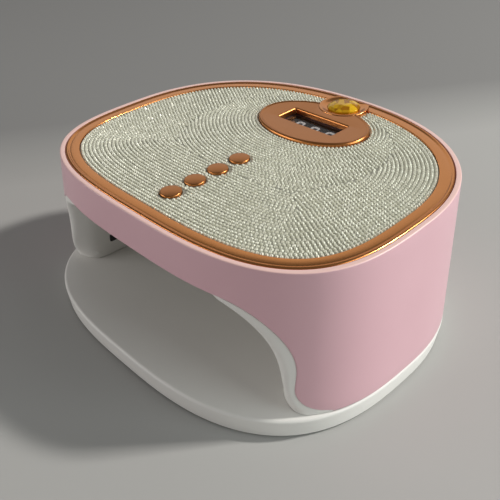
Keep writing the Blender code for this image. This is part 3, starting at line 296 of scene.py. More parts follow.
def even_steps(points, count):
    """The same line with count points, equally far apart along it."""
    runs = np.linalg.norm(np.diff(points, axis=0), axis=1)
    along = np.concatenate([[0.0], np.cumsum(runs)])
    steps = np.linspace(0.0, along[-1], count)
    return np.column_stack([np.interp(steps, along, column) for column in points.T])


def plan_outline(half_width, front_reach, rear_reach, front_power, count):
    """Two half superellipses, from the back round by the right side, the front and the left."""
    turn = np.linspace(0.0, math.pi, 4 * FINE)
    across, along = np.sin(turn), np.cos(turn)
    power = np.where(along > 0, REAR_POWER, front_power)
    reach = np.where(along > 0, rear_reach, front_reach)
    x = half_width * np.abs(across) ** (2 / power)
    y = np.sign(along) * reach * np.abs(along) ** (2 / power)
    right = even_steps(np.column_stack([x, y]), count // 2 + 1)
    right[0, 0] = right[-1, 0] = 0.0
    return np.vstack([right, right[-2:0:-1] * (-1, 1)])


def outward(points):
    """Unit normals of a closed outline that runs clockwise."""
    run = np.roll(points, -1, axis=0) - np.roll(points, 1, axis=0)
    run /= np.linalg.norm(run, axis=1)[:, None]
    return np.column_stack([-run[:, 1], run[:, 0]])


def inset(points, distance):
    return points - outward(points) * np.reshape(distance, (-1, 1))


def rounded_window(size, corner, count):
    """Rounded rectangle with even points, clockwise from the middle of its back edge."""
    half = np.array(size) / 2 - corner
    line = [(0.0, half[1] + corner)]
    for k, (sx, sy) in enumerate(((1, 1), (1, -1), (-1, -1), (-1, 1))):
        for turn in quarter_turn(9) + k * math.pi / 2:
            line.append((sx * half[0] + corner * math.sin(turn),
                         sy * half[1] + corner * math.cos(turn)))
    line.append(line[0])
    return even_steps(np.array(line), count + 1)[:-1]


def at_height(points, z):
    return np.column_stack([points, np.broadcast_to(z, len(points))])


def under_rim(points, level):
    """Plan points lifted to a level measured from the sloping rim plane."""
    return np.column_stack([points, rim_height(points[:, 1]) + level])


FINE_RIM = plan_outline(RIM_HALF_WIDTH, RIM_FRONT_REACH, RIM_REAR_REACH, FRONT_POWER, FINE)
FINE_NORMAL = outward(FINE_RIM)
RIM = FINE_RIM[::FINE // RIM_POINTS]
RIM_LENGTH = float(np.linalg.norm(FINE_RIM - np.roll(FINE_RIM, 1, axis=0), axis=1).sum())


def round_rim(values, share):
    """Values along the rim, read at shares of its length."""
    ring = np.vstack([values, values[:1]])
    grid = evenly(FINE + 1)
    return np.column_stack([np.interp(share % 1.0, grid, column) for column in ring.T])


def wall(share, z, depth):
    """Points of the leaning wall at shares of the rim's length, heights and depths under it."""
    rim = round_rim(FINE_RIM, share)
    normal = round_rim(FINE_NORMAL, share)
    height = rim_height(rim[:, 1])
    lean = WALL_LEAN * (height - z) / (height - SHELL_BOTTOM)
    return at_height(rim + normal * np.reshape(lean - depth, (-1, 1)), z)


def front_share(x, z, depth=0.0):
    """Share of the rim's length at which the front right wall has a given x at a height."""
    shares = np.linspace(*FRONT_SHARES, FRONT_POINTS)
    line = wall(shares, np.full(len(shares), z), depth)[:, 0]
    return float(np.interp(x, line[::-1], shares[::-1]))


def front_y(x, z, depth):
    """How far forward the wall's face is at a given x and height."""
    share = front_share(abs(x), z, depth)
    return wall(np.array([share]), np.array([z]), depth)[0, 1]


# Mesh making

def first_row(bm, points, closed=True):
    """Start a surface from one row of vertices."""
    if closed:
        row = bmesh.ops.create_circle(bm, segments=len(points), radius=1.0)["verts"]
    else:
        row = [bm.verts.new((0, 0, 0)) for _ in points]
        for pair in zip(row, row[1:]):
            bm.edges.new(pair)
    for vert, point in zip(row, points):
        vert.co = point
    return row


def row_edges(bm, row, closed=True):
    pairs = zip(row, row[1:] + row[:1]) if closed else zip(row, row[1:])
    return [bm.edges.get(pair) for pair in pairs]


def next_row(bm, row, points, closed=True):
    """Extrude a row's edges and lay the new row on the given points."""
    made = bmesh.ops.extrude_edge_only(bm, edges=row_edges(bm, row, closed))["geom"]
    fresh = {item for item in made if isinstance(item, bmesh.types.BMVert)}
    new_row = []
    for vert in row:
        ends = [edge.other_vert(vert) for edge in vert.link_edges]
        new_row.append(next(end for end in ends if end in fresh))
    for vert, point in zip(new_row, points):
        vert.co = point
    return new_row


def skin(rows, ends="capped"):
    """Surface through closed rows, capped at both ends or closed into a ring."""
    bm = bmesh.new()
    row = start = first_row(bm, rows[0])
    for points in rows[1:]:
        row = next_row(bm, row, points)
    if ends == "ring":
        next_row(bm, row, rows[0])
        bmesh.ops.remove_doubles(bm, verts=bm.verts, dist=MERGE)
    else:
        for loop in (start, row):
            bmesh.ops.edgeloop_fill(bm, edges=row_edges(bm, loop))
    bmesh.ops.recalc_face_normals(bm, faces=bm.faces)
    return bm


def spun(profile, steps=ROUND_STEPS):
    """A solid turned about Z from (radius, height) points that start and end on the axis."""
    bm = bmesh.new()
    verts = [bm.verts.new((radius, 0.0, z)) for radius, z in profile]
    edges = [bm.edges.new(pair) for pair in zip(verts, verts[1:])]
    bmesh.ops.spin(bm, geom=verts + edges, axis=(0, 0, 1), cent=(0, 0, 0), angle=2 * math.pi,
                   steps=steps, use_merge=True)
    bmesh.ops.remove_doubles(bm, verts=bm.verts, dist=MERGE)
    bmesh.ops.recalc_face_normals(bm, faces=bm.faces)
    return bm


def rod(radius, low, high, steps=ROUND_STEPS):
    bm = bmesh.new()
    bmesh.ops.create_cone(bm, cap_ends=True, segments=steps, radius1=radius, radius2=radius,
                          depth=high - low, matrix=Matrix.Translation((0, 0, (low + high) / 2)))
    return bm


def slab(size, corner, low, high, segments=4):
    """Block with rounded upright corners."""
    bm = bmesh.new()
    scale = Matrix.Diagonal((size[0], size[1], high - low, 1))
    middle = Matrix.Translation((0, 0, (low + high) / 2))
    bmesh.ops.create_cube(bm, size=1.0, matrix=middle @ scale)
    upright = [edge for edge in bm.edges if edge.verts[0].co.xy == edge.verts[1].co.xy]
    bmesh.ops.bevel(bm, geom=upright, offset=corner, segments=segments, profile=0.5,
                    affect="EDGES", material=-1)
    return bm


def moved(bm, matrix):
    bmesh.ops.transform(bm, matrix=matrix, verts=bm.verts)
    return bm


def mesh_of(name, bm):
    mesh = bpy.data.meshes.new(name)
    bm.to_mesh(mesh)
    bm.free()
    return mesh


def placed(name, data):
    """A new object in the scene."""
    made = bpy.data.objects.new(name, data)
    bpy.context.scene.collection.objects.link(made)
    return made


def gathered(shapes):
    """Several shapes in one mesh."""
    whole = bmesh.new()
    for bm in shapes:
        mesh = mesh_of("gathered", bm)
        whole.from_mesh(mesh)
        bpy.data.meshes.remove(mesh)
    return whole


def carved(bm, tool, operation="DIFFERENCE"):
    """The mesh after an exact boolean with a tool mesh."""
    target, cutter = (placed("spare", mesh_of("spare", shape)) for shape in (bm, tool))
    step = target.modifiers.new("carve", "BOOLEAN")
    step.operation = operation
    step.solver = "EXACT"
    step.object = cutter
    bpy.context.view_layer.update()
    done = target.evaluated_get(bpy.context.evaluated_depsgraph_get())
    mesh = bpy.data.meshes.new_from_object(done)
    result = bmesh.new()
    result.from_mesh(mesh)
    bpy.data.meshes.remove(mesh)
    for spare in (target, cutter):
        data = spare.data
        bpy.data.objects.remove(spare)
        bpy.data.meshes.remove(data)
    return result


def on_rim(bm, x, y):
    """Lay a shape made about its own middle along the sloping rim at a place."""
    shear = Matrix(((1, 0, 0, 0), (0, 1, 0, 0), (0, RIM_SLOPE, 1, 0), (0, 0, 0, 1)))
    return moved(bm, Matrix.Translation((x, y, rim_height(y))) @ shear)


def facing_back(bm, x, y, z):
    """Turn a shape's +Z to the back and place it."""
    turn = Matrix.Rotation(-math.pi / 2, 4, "X")
    return moved(bm, Matrix.Translation((x, y, z)) @ turn)


def piece(name, bm, finish, body, replaces=(), smooth=True):
    """Finish a mesh as a named piece that rides on a body."""
    mesh = mesh_of(name, bm)
    mesh.materials.append(finish)
    if smooth:
        mesh.shade_smooth()
        mesh.set_sharp_from_angle(angle=SMOOTH_ANGLE)
    made = placed(name, mesh)
    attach(made, body)
    if replaces:
        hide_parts(*replaces)


# Shader maths

class Value:
    """A shader value; arithmetic on it adds Math nodes."""

    def __init__(self, finish, socket):
        self.finish = finish
        self.socket = socket

    def math(self, operation, first, second):
        return self.finish.node("ShaderNodeMath", {"operation": operation}, {0: first, 1: second})

    def __add__(self, other):
        return self.math("ADD", self, other)

    def __mul__(self, other):
        return self.math("MULTIPLY", self, other)

    def __sub__(self, other):
        return self.math("SUBTRACT", self, other)

    def __rsub__(self, other):
        return self.math("SUBTRACT", other, self)

    __radd__ = __add__
    __rmul__ = __mul__


class Finish:
    """A material with one way to add a node."""

    def __init__(self, name):
        self.material = bpy.data.materials.new(name)
        self.material.use_nodes = True
        self.tree = self.material.node_tree
        self.shader = self.tree.nodes["Principled BSDF"]

    def node(self, kind, settings=None, sockets=None, output=0):
        made = self.tree.nodes.new(kind)
        for name, value in (settings or {}).items():
            if name == "stops":
                for element, (place, shade) in zip(made.color_ramp.elements, value):
                    element.position = place
                    element.color = (shade, shade, shade, 1.0)
            else:
                setattr(made, name, value)
        for key, value in (sockets or {}).items():
            self.feed(made.inputs[key], value)
        return Value(self, made.outputs[output])

    def feed(self, socket, value):
        if isinstance(value, Value):
            self.tree.links.new(value.socket, socket)
        else:
            socket.default_value = value

    def set(self, **inputs):
        """Set the surface shader's sockets, named in lower case with underscores."""
        by_name = {socket.name.lower().replace(" ", "_"): socket for socket in self.shader.inputs}
        for name, value in inputs.items():
            self.feed(by_name[name], value)
        return self.material

    def place(self):
        return self.node("ShaderNodeTexCoord", output=3)

    def coordinate(self, axis):
        return self.node("ShaderNodeSeparateXYZ", None, {0: self.place()}, output=axis)

    def noise(self, size, detail=2.0):
        """Cloudy value between 0 and 1 with features of a given size."""
        return self.node("ShaderNodeTexNoise", None,
                         {"Vector": self.place(), "Scale": 1.0 / size, "Detail": detail})

    def cells(self, size):
        """A shade for each cell of a given size, between 0 and 1."""
        colour = self.node("ShaderNodeTexVoronoi", None,
                           {"Vector": self.place(), "Scale": 1.0 / size}, output=1)
        return self.node("ShaderNodeSeparateColor", None, {0: colour})

    def ramp(self, value, low=0.0, high=1.0):
        """Stretch a value between two stops to 0 and 1."""
        colour = self.node("ShaderNodeValToRGB", {"stops": ((low, 0.0), (high, 1.0))}, {0: value})
        return self.node("ShaderNodeSeparateColor", None, {0: colour})

    def blend(self, share, first, second):
        """Colour between two colours, each a shader value or three numbers."""
        first, second = (colour if isinstance(colour, Value) else (*colour, 1.0)
                         for colour in (first, second))
        return self.node("ShaderNodeMix", {"data_type": "RGBA"}, {0: share, 6: first, 7: second},
                         output=2)

    def bump(self, height, depth, strength):
        return self.node("ShaderNodeBump", None,
                         {"Height": height, "Distance": depth, "Strength": strength})


# Painted highlight: a paler tone on the top of the shell's lip
LIP_HIGHLIGHT_TONE = (0.92, 0.62, 0.57)


def painted_lip_highlight(finish, pink):
    """The shell's colour with a painted highlight, paler on the lip's top."""
    level = finish.coordinate(2) - finish.coordinate(1) * RIM_SLOPE - (RIM_HEIGHT - LIP_HIGHLIGHT_DROP)
    return finish.blend(finish.ramp(level * (1 / LIP_HIGHLIGHT_FADE)), pink, LIP_HIGHLIGHT_TONE)


def moulded(name, deep, pale, roughness, tint=None, **gloss):
    """Moulded plastic: faint cloudy tone, fine peel and uneven gloss."""
    finish = Finish(name)
    cloud = finish.noise(40 * MM, 3.0)
    peel = finish.noise(0.7 * MM)
    colour = finish.blend(cloud, deep, pale)
    # tint may paint light into the colour, as the painted highlight on the pink shell's lip does
    if tint:
        colour = tint(finish, colour)
    return finish.set(base_color=colour, roughness=roughness - 0.04 + cloud * 0.08,
                      normal=finish.bump(peel, 0.012 * MM, 0.5), **gloss)


def rose_gold_finish(name, deep, pale, roughness):
    """Plating with a faint cloudy tint and fine wiping marks."""
    finish = Finish(name)
    cloud = finish.noise(22 * MM, 3.0)
    marks = finish.noise(0.5 * MM, 4.0)
    return finish.set(base_color=finish.blend(cloud, deep, pale), metallic=1.0,
                      roughness=roughness + marks * 0.06,
                      normal=finish.bump(marks, 0.003 * MM, 0.4))


def stone_finish():
    """Silver-backed cut stones, each a little lighter or darker than its neighbours."""
    finish = Finish("cut_stone_finish")
    cell = finish.cells(1.1 * MM)
    colour = finish.blend(cell, (0.69, 0.685, 0.555), (0.79, 0.785, 0.655))
    return finish.set(base_color=colour, metallic=0.15, roughness=0.22 + cell * 0.10,
                      coat_weight=0.45, coat_roughness=0.08)


def stone_bed_finish():
    """Mottled glue and foil between the stones."""
    finish = Finish("stone_bed_finish")
    cloud = finish.noise(1.2 * MM)
    return finish.set(base_color=finish.blend(cloud, (0.34, 0.34, 0.27), (0.44, 0.44, 0.36)),
                      metallic=0.4, roughness=0.35 + cloud * 0.1)


def lens_finish():
    """Smoked window with a faint haze."""
    finish = Finish("smoked_lens_finish")
    haze = finish.noise(3 * MM, 3.0)
    return finish.set(base_color=(0.010, 0.009, 0.009, 1.0), roughness=0.05 + haze * 0.04,
                      alpha=0.42)


def digit_finish():
    """Digit bars, lit unevenly."""
    finish = Finish("lit_digit_finish")
    glow = finish.noise(1.5 * MM)
    return finish.set(base_color=(0.75, 0.72, 0.70, 1.0), roughness=0.5 + glow * 0.1,
                      emission_color=finish.blend(glow, (0.62, 0.56, 0.54), (0.70, 0.66, 0.63)),
                      emission_strength=1.3)


def jewel_finish():
    """Amber with painted facet highlights and shade: random cells lighter and darker."""
    finish = Finish("amber_jewel_finish")
    depth = finish.noise(5 * MM, 2.0)
    # Painted highlights and shade: cells from deep amber to bright yellow stand in for light on the
    # facets
    facet_glint = finish.cells(4.5 * MM)
    return finish.set(base_color=finish.blend(facet_glint, (0.40, 0.16, 0.002), (0.92, 0.56, 0.02)),
                      roughness=0.06 + depth * 0.04, transmission_weight=0.25, ior=1.45)


def board_finish():
    """Green solder mask with lighter tracks."""
    finish = Finish("circuit_board_finish")
    tracks = finish.ramp(finish.cells(2.4 * MM), 0.55, 0.6)
    return finish.set(base_color=finish.blend(tracks, (0.02, 0.11, 0.045), (0.05, 0.20, 0.09)),
                      roughness=0.42 - tracks * 0.08)


def diode_finish():
    """Clear cured resin over the chip."""
    finish = Finish("diode_lens_finish")
    haze = finish.noise(2 * MM)
    return finish.set(base_color=finish.blend(haze, (0.74, 0.70, 0.52), (0.84, 0.81, 0.66)),
                      roughness=0.12 + haze * 0.06, coat_weight=0.7, coat_roughness=0.03)


def steel_finish():
    """Bright steel with fine marks."""
    finish = Finish("bright_steel_finish")
    marks = finish.noise(0.4 * MM, 3.0)
    return finish.set(base_color=finish.blend(marks, (0.50, 0.50, 0.52), (0.60, 0.60, 0.62)),
                      metallic=1.0, roughness=0.24 + marks * 0.14)


def rubber_finish():
    """Dull rubber with a fine grain."""
    finish = Finish("grey_rubber_finish")
    grain = finish.noise(0.6 * MM, 3.0)
    return finish.set(base_color=finish.blend(grain, (0.09, 0.09, 0.09), (0.14, 0.14, 0.135)),
                      roughness=0.72 + grain * 0.12, normal=finish.bump(grain, 0.04 * MM, 0.6))


# The pink shell carries a painted highlight on its lip
PINK = moulded("pink_shell_finish", (0.69, 0.415, 0.465), (0.73, 0.45, 0.50), 0.42, painted_lip_highlight,
               coat_weight=0.4, coat_roughness=0.35)
WHITE = moulded("white_shell_finish", (0.79, 0.775, 0.74), (0.83, 0.815, 0.78), 0.42)
ROSE_GOLD = rose_gold_finish("rose_gold_finish", (0.76, 0.305, 0.095), (0.82, 0.34, 0.115), 0.2)
SATIN_GOLD = rose_gold_finish("satin_gold_finish", (0.57, 0.222, 0.070), (0.62, 0.25, 0.082),
                              0.27)
STONE = stone_finish()
STONE_BED = stone_bed_finish()
LENS = lens_finish()
DIGIT = digit_finish()
AMBER = jewel_finish()
BLACK = moulded("black_plastic_finish", (0.012, 0.012, 0.012), (0.022, 0.022, 0.022), 0.45)
BOARD = board_finish()
LED_BOARD = moulded("led_board_finish", (0.74, 0.74, 0.72), (0.80, 0.80, 0.78), 0.45)
DIODE = diode_finish()
STEEL = steel_finish()
RUBBER = rubber_finish()

BUTTON_YS = [BUTTON_FRONT_Y + k * BUTTON_PITCH for k in range(BUTTON_COUNT)]


# Outer shell

def arch_side(inward=0.0):
    """Right side of the front opening, from the foot of its leg to the middle of its top."""
    leg, shoulder = LEG_RADIUS + inward, ARCH_RADIUS - inward
    line = [(ARCH_HALF_WIDTH + LEG_RADIUS - leg * math.cos(turn),
             SHELL_BOTTOM + LEG_RADIUS - leg * math.sin(turn))
            for turn in np.linspace(LEG_SWEEP, 0.0, LEG_POINTS)]
    line += [(ARCH_HALF_WIDTH - ARCH_RADIUS + shoulder * math.sin(turn),
              ARCH_TOP - ARCH_RADIUS + shoulder * math.cos(turn))
             for turn in quarter_turn(SHOULDER_POINTS)[::-1]]
    line += [(x, line[-1][1]) for x in np.linspace(line[-1][0], 0.0, ARCH_TOP_POINTS)[1:]]
    return line


def shell_edge():
    """Lower edge of the shell with its arch, as shares of the rim's length and heights."""
    arch = [(front_share(x, z), z) for x, z in arch_side()]
    arch[-1] = (0.5, ARCH_TOP)
    foot_end = arch[0][0] - LEG_END_SHARE
    foot = [(share, SHELL_BOTTOM) for share in np.linspace(0.0, foot_end, STRAIGHT_POINTS)]
    line = np.array(foot + arch) * (RIM_LENGTH, 1.0)
    right = even_steps(line, EDGE_POINTS // 2 + 1)
    left = right[-2:0:-1] * (-1, 1) + (RIM_LENGTH, 0)
    return np.vstack([right, left])


def shell_rows():
    """Rows from under the deck down the inside, round the edge, up the wall and over the lip."""
    edge = shell_edge()
    closed = np.vstack([edge[-1] - (RIM_LENGTH, 0), edge, edge[:1] + (RIM_LENGTH, 0)])
    run = closed[2:] - closed[:-2]
    run /= np.linalg.norm(run, axis=1)[:, None]
    into_wall = np.column_stack([-run[:, 1], run[:, 0]])
    index_share = np.arange(EDGE_POINTS) / EDGE_POINTS
    edge_share = edge[:, 0] / RIM_LENGTH
    top_share = EDGE_PULL * edge_share + (1 - EDGE_PULL) * index_share
    top = rim_height(round_rim(FINE_RIM, top_share)[:, 1])

    def edge_row(along, depth):
        place = edge + into_wall * along
        return wall(place[:, 0] / RIM_LENGTH, place[:, 1], depth)

    def lip_row(drop, depth):
        return wall(top_share, top - drop, depth)

    rows = [lip_row(DECK_DROP + DECK_THICKNESS, SHELL_WALL), edge_row(0.0, SHELL_WALL)]
    for turn in quarter_turn(6):
        rows.append(edge_row(SHELL_EDGE * (1 - math.cos(turn)), SHELL_EDGE * (1 - math.sin(turn))))
    start = edge + into_wall * SHELL_EDGE
    finish = np.column_stack([top_share * RIM_LENGTH, top - LIP_OUTER_EDGE])
    for share in evenly(14)[1:-1]:
        place = start + (finish - start) * share
        rows.append(wall(place[:, 0] / RIM_LENGTH, place[:, 1], 0.0))
    for turn in quarter_turn(7):
        rows.append(lip_row(LIP_OUTER_EDGE * (1 - math.sin(turn)),
                            LIP_OUTER_EDGE * (1 - math.cos(turn))))
    for turn in quarter_turn(5):
        rows.append(lip_row(LIP_INNER_EDGE * (1 - math.cos(turn)),
                            LIP_WIDTH - LIP_INNER_EDGE * (1 - math.sin(turn))))
    rows.append(lip_row(DECK_DROP, LIP_WIDTH))
    return rows


def make_outer_shell():
    """Pink housing with holes for the buttons, the display, the vents and the inlet."""
    holes = [on_rim(rod(BUTTON_RADIUS + GAP, *DECK_CUT), 0, y) for y in BUTTON_YS]
    holes.append(on_rim(slab(LENS_SIZE, WINDOW_CORNER, *DECK_CUT), 0, DISPLAY_Y))
    for side in (-1, 1):
        for k in range(VENT_COUNT):
            vent = slab(VENT_SIZE, VENT_CORNER, *VENT_CUT)
            x = side * (VENT_FIRST_X + k * VENT_PITCH)
            holes.append(facing_back(vent, x, RIM_REAR_REACH, VENT_HEIGHT))
    inlet = rod(INLET_NOSE_RADIUS + GAP, *INLET_CUT)
    holes.append(facing_back(inlet, 0, RIM_REAR_REACH, INLET_HEIGHT))
    shell = carved(skin(shell_rows()), gathered(holes))
    piece("pink_shell", shell, PINK, "lamp_head", ["outer_shell"])


# Liner with its tunnel

def mouth_flare(y):
    """How far the tunnel's mouth has opened at y: a hyperbola that leaves the straight tunnel."""
    ahead = max(MOUTH_BACK - y, 0.0) / MOUTH_BEND
    return MOUTH_BEND * (math.sqrt(1 + ahead * ahead) - 1)


def tunnel_size(y):
    """Half width and rise of the tunnel, which shrinks a little from its mouth to the back."""
    share = max(y - MOUTH_BACK, 0.0) / (TUNNEL_BACK - MOUTH_BACK)
    flare = mouth_flare(y)
    return (TUNNEL_HALF_WIDTH + MOUTH_SPREAD * flare - TUNNEL_NARROWING * share,
            TUNNEL_RISE + MOUTH_LIFT * flare - TUNNEL_FALL * share)


def arch_point(turn, half_width, rise):
    """Point of the tunnel's superellipse arch on its right half."""
    across, up = math.cos(turn), math.sin(turn)
    return half_width * across ** (2 / TUNNEL_POWER), BASE_TOP + rise * up ** (2 / TUNNEL_POWER)


SECTION = quarter_turn(SECTION_POINTS)
SECTION_ACROSS = np.abs(np.cos(SECTION)) ** (2 / TUNNEL_POWER)
SECTION_UP = np.sin(SECTION) ** (2 / TUNNEL_POWER)


def tunnel_reach(angle, y, shrink=0.0):
    """Distance from the middle of the foot to the tunnel's wall, along an angle at y."""
    width, rise = tunnel_size(min(y, TUNNEL_BACK - TUNNEL_ROUNDING))
    up = np.maximum(BASE_TOP + (rise - shrink) * SECTION_UP - LINER_BOTTOM, 0.0)
    toe = TOE_SPREAD * MOUTH_SPREAD * mouth_flare(y) * np.clip(1 - up / TOE_HEIGHT, 0.0, 1.0) ** 2
    across = (width - shrink) * SECTION_ACROSS + toe
    return float(np.interp(angle, np.arctan2(up, across), np.hypot(across, up)))


def across_up(angle, reach):
    return reach * math.cos(angle), LINER_BOTTOM + reach * math.sin(angle)


def mouth_place(angle, depth):
    """Where the tunnel's flare meets the wall at a depth under its face: reach and y."""
    low, high = FLARE_LIMITS
    for _ in range(HALVINGS):
        y = (low + high) / 2
        if front_y(*across_up(angle, tunnel_reach(angle, y)), depth) > y:
            low = y
        else:
            high = y
    return tunnel_reach(angle, y), y


def whole_row(right):
    """A row from its right half, which runs from the foot to the crown."""
    right = np.array(right)
    right[-1, 0] = 0.0
    return np.vstack([right, right[-2::-1] * (-1, 1, 1)])


def liner_rows():
    """Rows from behind the shell over the lip in its arch, down the flare and along the tunnel."""
    side = arch_side(GAP)
    line = even_steps(np.array([(side[0][0], LINER_BOTTOM)] + side), ARCH_POINTS)
    angles = np.arctan2(line[:, 1] - LINER_BOTTOM, line[:, 0])
    arch = np.hypot(line[:, 0], line[:, 1] - LINER_BOTTOM)
    mouth = np.array([mouth_place(angle, MOUTH_LIP_SETBACK)[0] for angle in angles])
    shown = np.clip((arch - mouth) / MOUTH_LIP_FADE, 0.0, 1.0)
    face = SKIRT_DEPTH + (MOUTH_LIP_SETBACK - SKIRT_DEPTH) * shown * shown * (3 - 2 * shown)
    mouth, mouth_y = np.array([mouth_place(*pair) for pair in zip(angles, face)]).T
    edge = np.maximum(arch, mouth + MOUTH_ROUNDING / 3)
    bend = np.minimum(MOUTH_ROUNDING, MOUTH_ROUNDING_SHARE * (edge - MOUTH_LIP_EDGE - mouth))

    def face_row(reaches, depths):
        row = []
        for angle, reach, depth in zip(angles, reaches, np.broadcast_to(depths, len(angles))):
            x, z = across_up(angle, reach)
            row.append((x, front_y(x, z, depth), z))
        return whole_row(row)

    def tunnel_row(ys, shrink=0.0):
        row = []
        for angle, y in zip(angles, np.broadcast_to(ys, len(angles))):
            x, z = across_up(angle, tunnel_reach(angle, y, shrink))
            row.append((x, y, z))
        return whole_row(row)

    rows = [face_row(edge + SKIRT_COVER, SKIRT_DEPTH), face_row(edge, SKIRT_DEPTH)]
    for turn in quarter_turn(5):
        depth = np.minimum(face + MOUTH_LIP_EDGE * (1 - math.sin(turn)), SKIRT_DEPTH)
        rows.append(face_row(edge - MOUTH_LIP_EDGE * (1 - math.cos(turn)), depth))
    for share in evenly(6)[1:]:
        rows.append(face_row((edge - MOUTH_LIP_EDGE) * (1 - share) + (mouth + bend) * share, face))
    start, corner = rows[-1], face_row(mouth, face)
    inside_y = mouth_y + bend
    inside = tunnel_row(inside_y)
    for t in evenly(9)[1:]:
        rows.append((1 - t) ** 2 * start + 2 * t * (1 - t) * corner + t ** 2 * inside)
    straight_end = TUNNEL_BACK - TUNNEL_ROUNDING
    for t in evenly(19)[1:]:
        rows.append(tunnel_row(inside_y + (straight_end - inside_y) * t ** TUNNEL_CROWDING))
    for turn in quarter_turn(9)[1:]:
        shrink = TUNNEL_ROUNDING * (1 - math.cos(turn))
        rows.append(tunnel_row(straight_end + TUNNEL_ROUNDING * math.sin(turn), shrink))
    return rows


def wall_frame(y, height, side):
    """Axes along, across and out of the tunnel's wall at a place on its inner face."""
    rise = tunnel_size(y)[1]
    turn = math.asin(((height - BASE_TOP) / rise) ** (TUNNEL_POWER / 2))

    def at(along, angle):
        x, z = arch_point(angle, *tunnel_size(along))
        return Vector((side * x, along, z))

    step = 1e-4
    along = (at(y + step, turn) - at(y - step, turn)).normalized()
    across = (at(y, turn + step) - at(y, turn - step)).normalized() * side
    out = along.cross(across).normalized()
    axes = Matrix((along, out.cross(along), out)).transposed().to_4x4()
    return Matrix.Translation(at(y, turn)) @ axes


def roof_frame(y):
    """The same axes on the tunnel's crown."""
    along = Vector((0, 1, -TUNNEL_FALL / (TUNNEL_BACK - MOUTH_BACK))).normalized()
    across = Vector((-1, 0, 0))
    axes = Matrix((along, across, along.cross(across))).transposed().to_4x4()
    return Matrix.Translation((0, y, BASE_TOP + tunnel_size(y)[1])) @ axes


LED_BOARDS = {"led_board_roof": (roof_frame(LED_BOARD_Y), 4),
              "led_board_left": (wall_frame(LED_BOARD_Y, SIDE_BOARD_HEIGHT, -1), 1),
              "led_board_right": (wall_frame(LED_BOARD_Y, SIDE_BOARD_HEIGHT, 1), 1)}
SENSORS = {"hand_sensor_left": wall_frame(SENSOR_Y, SENSOR_HEIGHT, -1),
           "hand_sensor_right": wall_frame(SENSOR_Y, SENSOR_HEIGHT, 1)}


def led_frames(place, rows):
    """Axes of each diode on a board."""
    for column in range(LED_COLUMNS):
        for row in range(rows):
            along = (column - (LED_COLUMNS - 1) / 2) * LED_PITCH_ALONG
            across = (row - (rows - 1) / 2) * LED_PITCH_ACROSS
            yield place @ Matrix.Translation((along, across, 0))


def make_liner():
    """White lining of the tunnel with its lip, open for the diodes and the sensors."""
    rows = liner_rows()
    bm = bmesh.new()
    row = first_row(bm, rows[0], closed=False)
    for points in rows[1:]:
        row = next_row(bm, row, points, closed=False)
    bm.edges.new((row[0], row[-1]))
    bmesh.ops.edgeloop_fill(bm, edges=row_edges(bm, row))
    bmesh.ops.recalc_face_normals(bm, faces=bm.faces)
    back = max(bm.faces, key=lambda face: face.calc_center_median().y)
    if back.normal.y > 0:
        bmesh.ops.reverse_faces(bm, faces=bm.faces)
    bmesh.ops.solidify(bm, geom=bm.faces, thickness=LINER_WALL)
    for vert in bm.verts:
        vert.co.z = max(vert.co.z, LINER_BOTTOM)
    holes = []
    for place, count in LED_BOARDS.values():
        for led in led_frames(place, count):
            holes.append(moved(rod(LED_RADIUS + GAP, *LED_CUT, LED_HOLE_STEPS), led))
    for place in SENSORS.values():
        size = [length + 2 * GAP for length in SENSOR_SIZE]
        holes.append(moved(slab(size, WINDOW_CORNER, *SENSOR_CUT), place))
    bm = carved(bm, gathered(holes))
    piece("white_liner", bm, WHITE, "lamp_head", ["inner_shell"])


def stood(shape, places):
    """Copies of a shape, made afresh at each plan place."""
    return [moved(shape(), Matrix.Translation((x, y, 0))) for x, y in places]


def node_middles(*names):
    """Plan places of CAD nodes."""
    return [tuple(sum(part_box(name), Vector()) / 2)[:2] for name in names]


def node_size(name):
    low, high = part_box(name)
    return high - low


FEET = node_middles(*(f"rubber_foot_{k}" for k in range(1, 5)))
MAGNETS = node_middles("base_magnet_left", "base_magnet_right")
CASE_SCREWS = node_middles(*(f"case_screw_{k}" for k in range(1, 5)))
PINS = [(-PIN_X, PIN_Y), (PIN_X, PIN_Y)]
FOOT_SIZE = node_size("rubber_foot_1")
MAGNET_SIZE = node_size("base_magnet_left")
SCREW_SIZE = node_size("case_screw_1")


def make_foot_plate():
    """Flat foot between the tunnel and the shell, with wells for screws, magnets and pins."""
    shares = np.linspace(-FOOT_SHARE, FOOT_SHARE, FOOT_POINTS)
    outer = wall(shares, np.full(FOOT_POINTS, LINER_BOTTOM), SKIRT_DEPTH)
    ys = np.where(outer[:, 1] < 0, outer[:, 1], outer[:, 1] * FOOT_INSIDE)
    ys = np.clip(ys, MOUTH_BACK, TUNNEL_BACK + LINER_WALL)
    inner = []
    for (x, _, z), y in zip(outer, ys):
        width = tunnel_size(y)[0] + LINER_WALL
        inner.append((max(-width, min(width, x)), y, z))
    bm = bmesh.new()
    row = first_row(bm, outer, closed=False)
    next_row(bm, row, inner, closed=False)
    up = bmesh.ops.extrude_face_region(bm, geom=bm.faces[:])["geom"]
    verts = [item for item in up if isinstance(item, bmesh.types.BMVert)]
    bmesh.ops.translate(bm, vec=(0, 0, FOOT_PLATE), verts=verts)
    bmesh.ops.recalc_face_normals(bm, faces=bm.faces)
    wells = []
    for places, radius, top in ((CASE_SCREWS, SCREW_SIZE.x / 2, LINER_BOTTOM + 2 * FOOT_PLATE),
                                (MAGNETS, MAGNET_SIZE.x / 2, LINER_BOTTOM + MAGNET_SIZE.z + GAP),
                                (PINS, PIN_RADIUS, BASE_TOP + PIN_HEIGHT + GAP)):
        wells += stood(lambda: rod(radius + GAP, LINER_BOTTOM - FOOT_PLATE, top), places)
    piece("liner_foot", carved(bm, gathered(wells)), WHITE, "lamp_head")


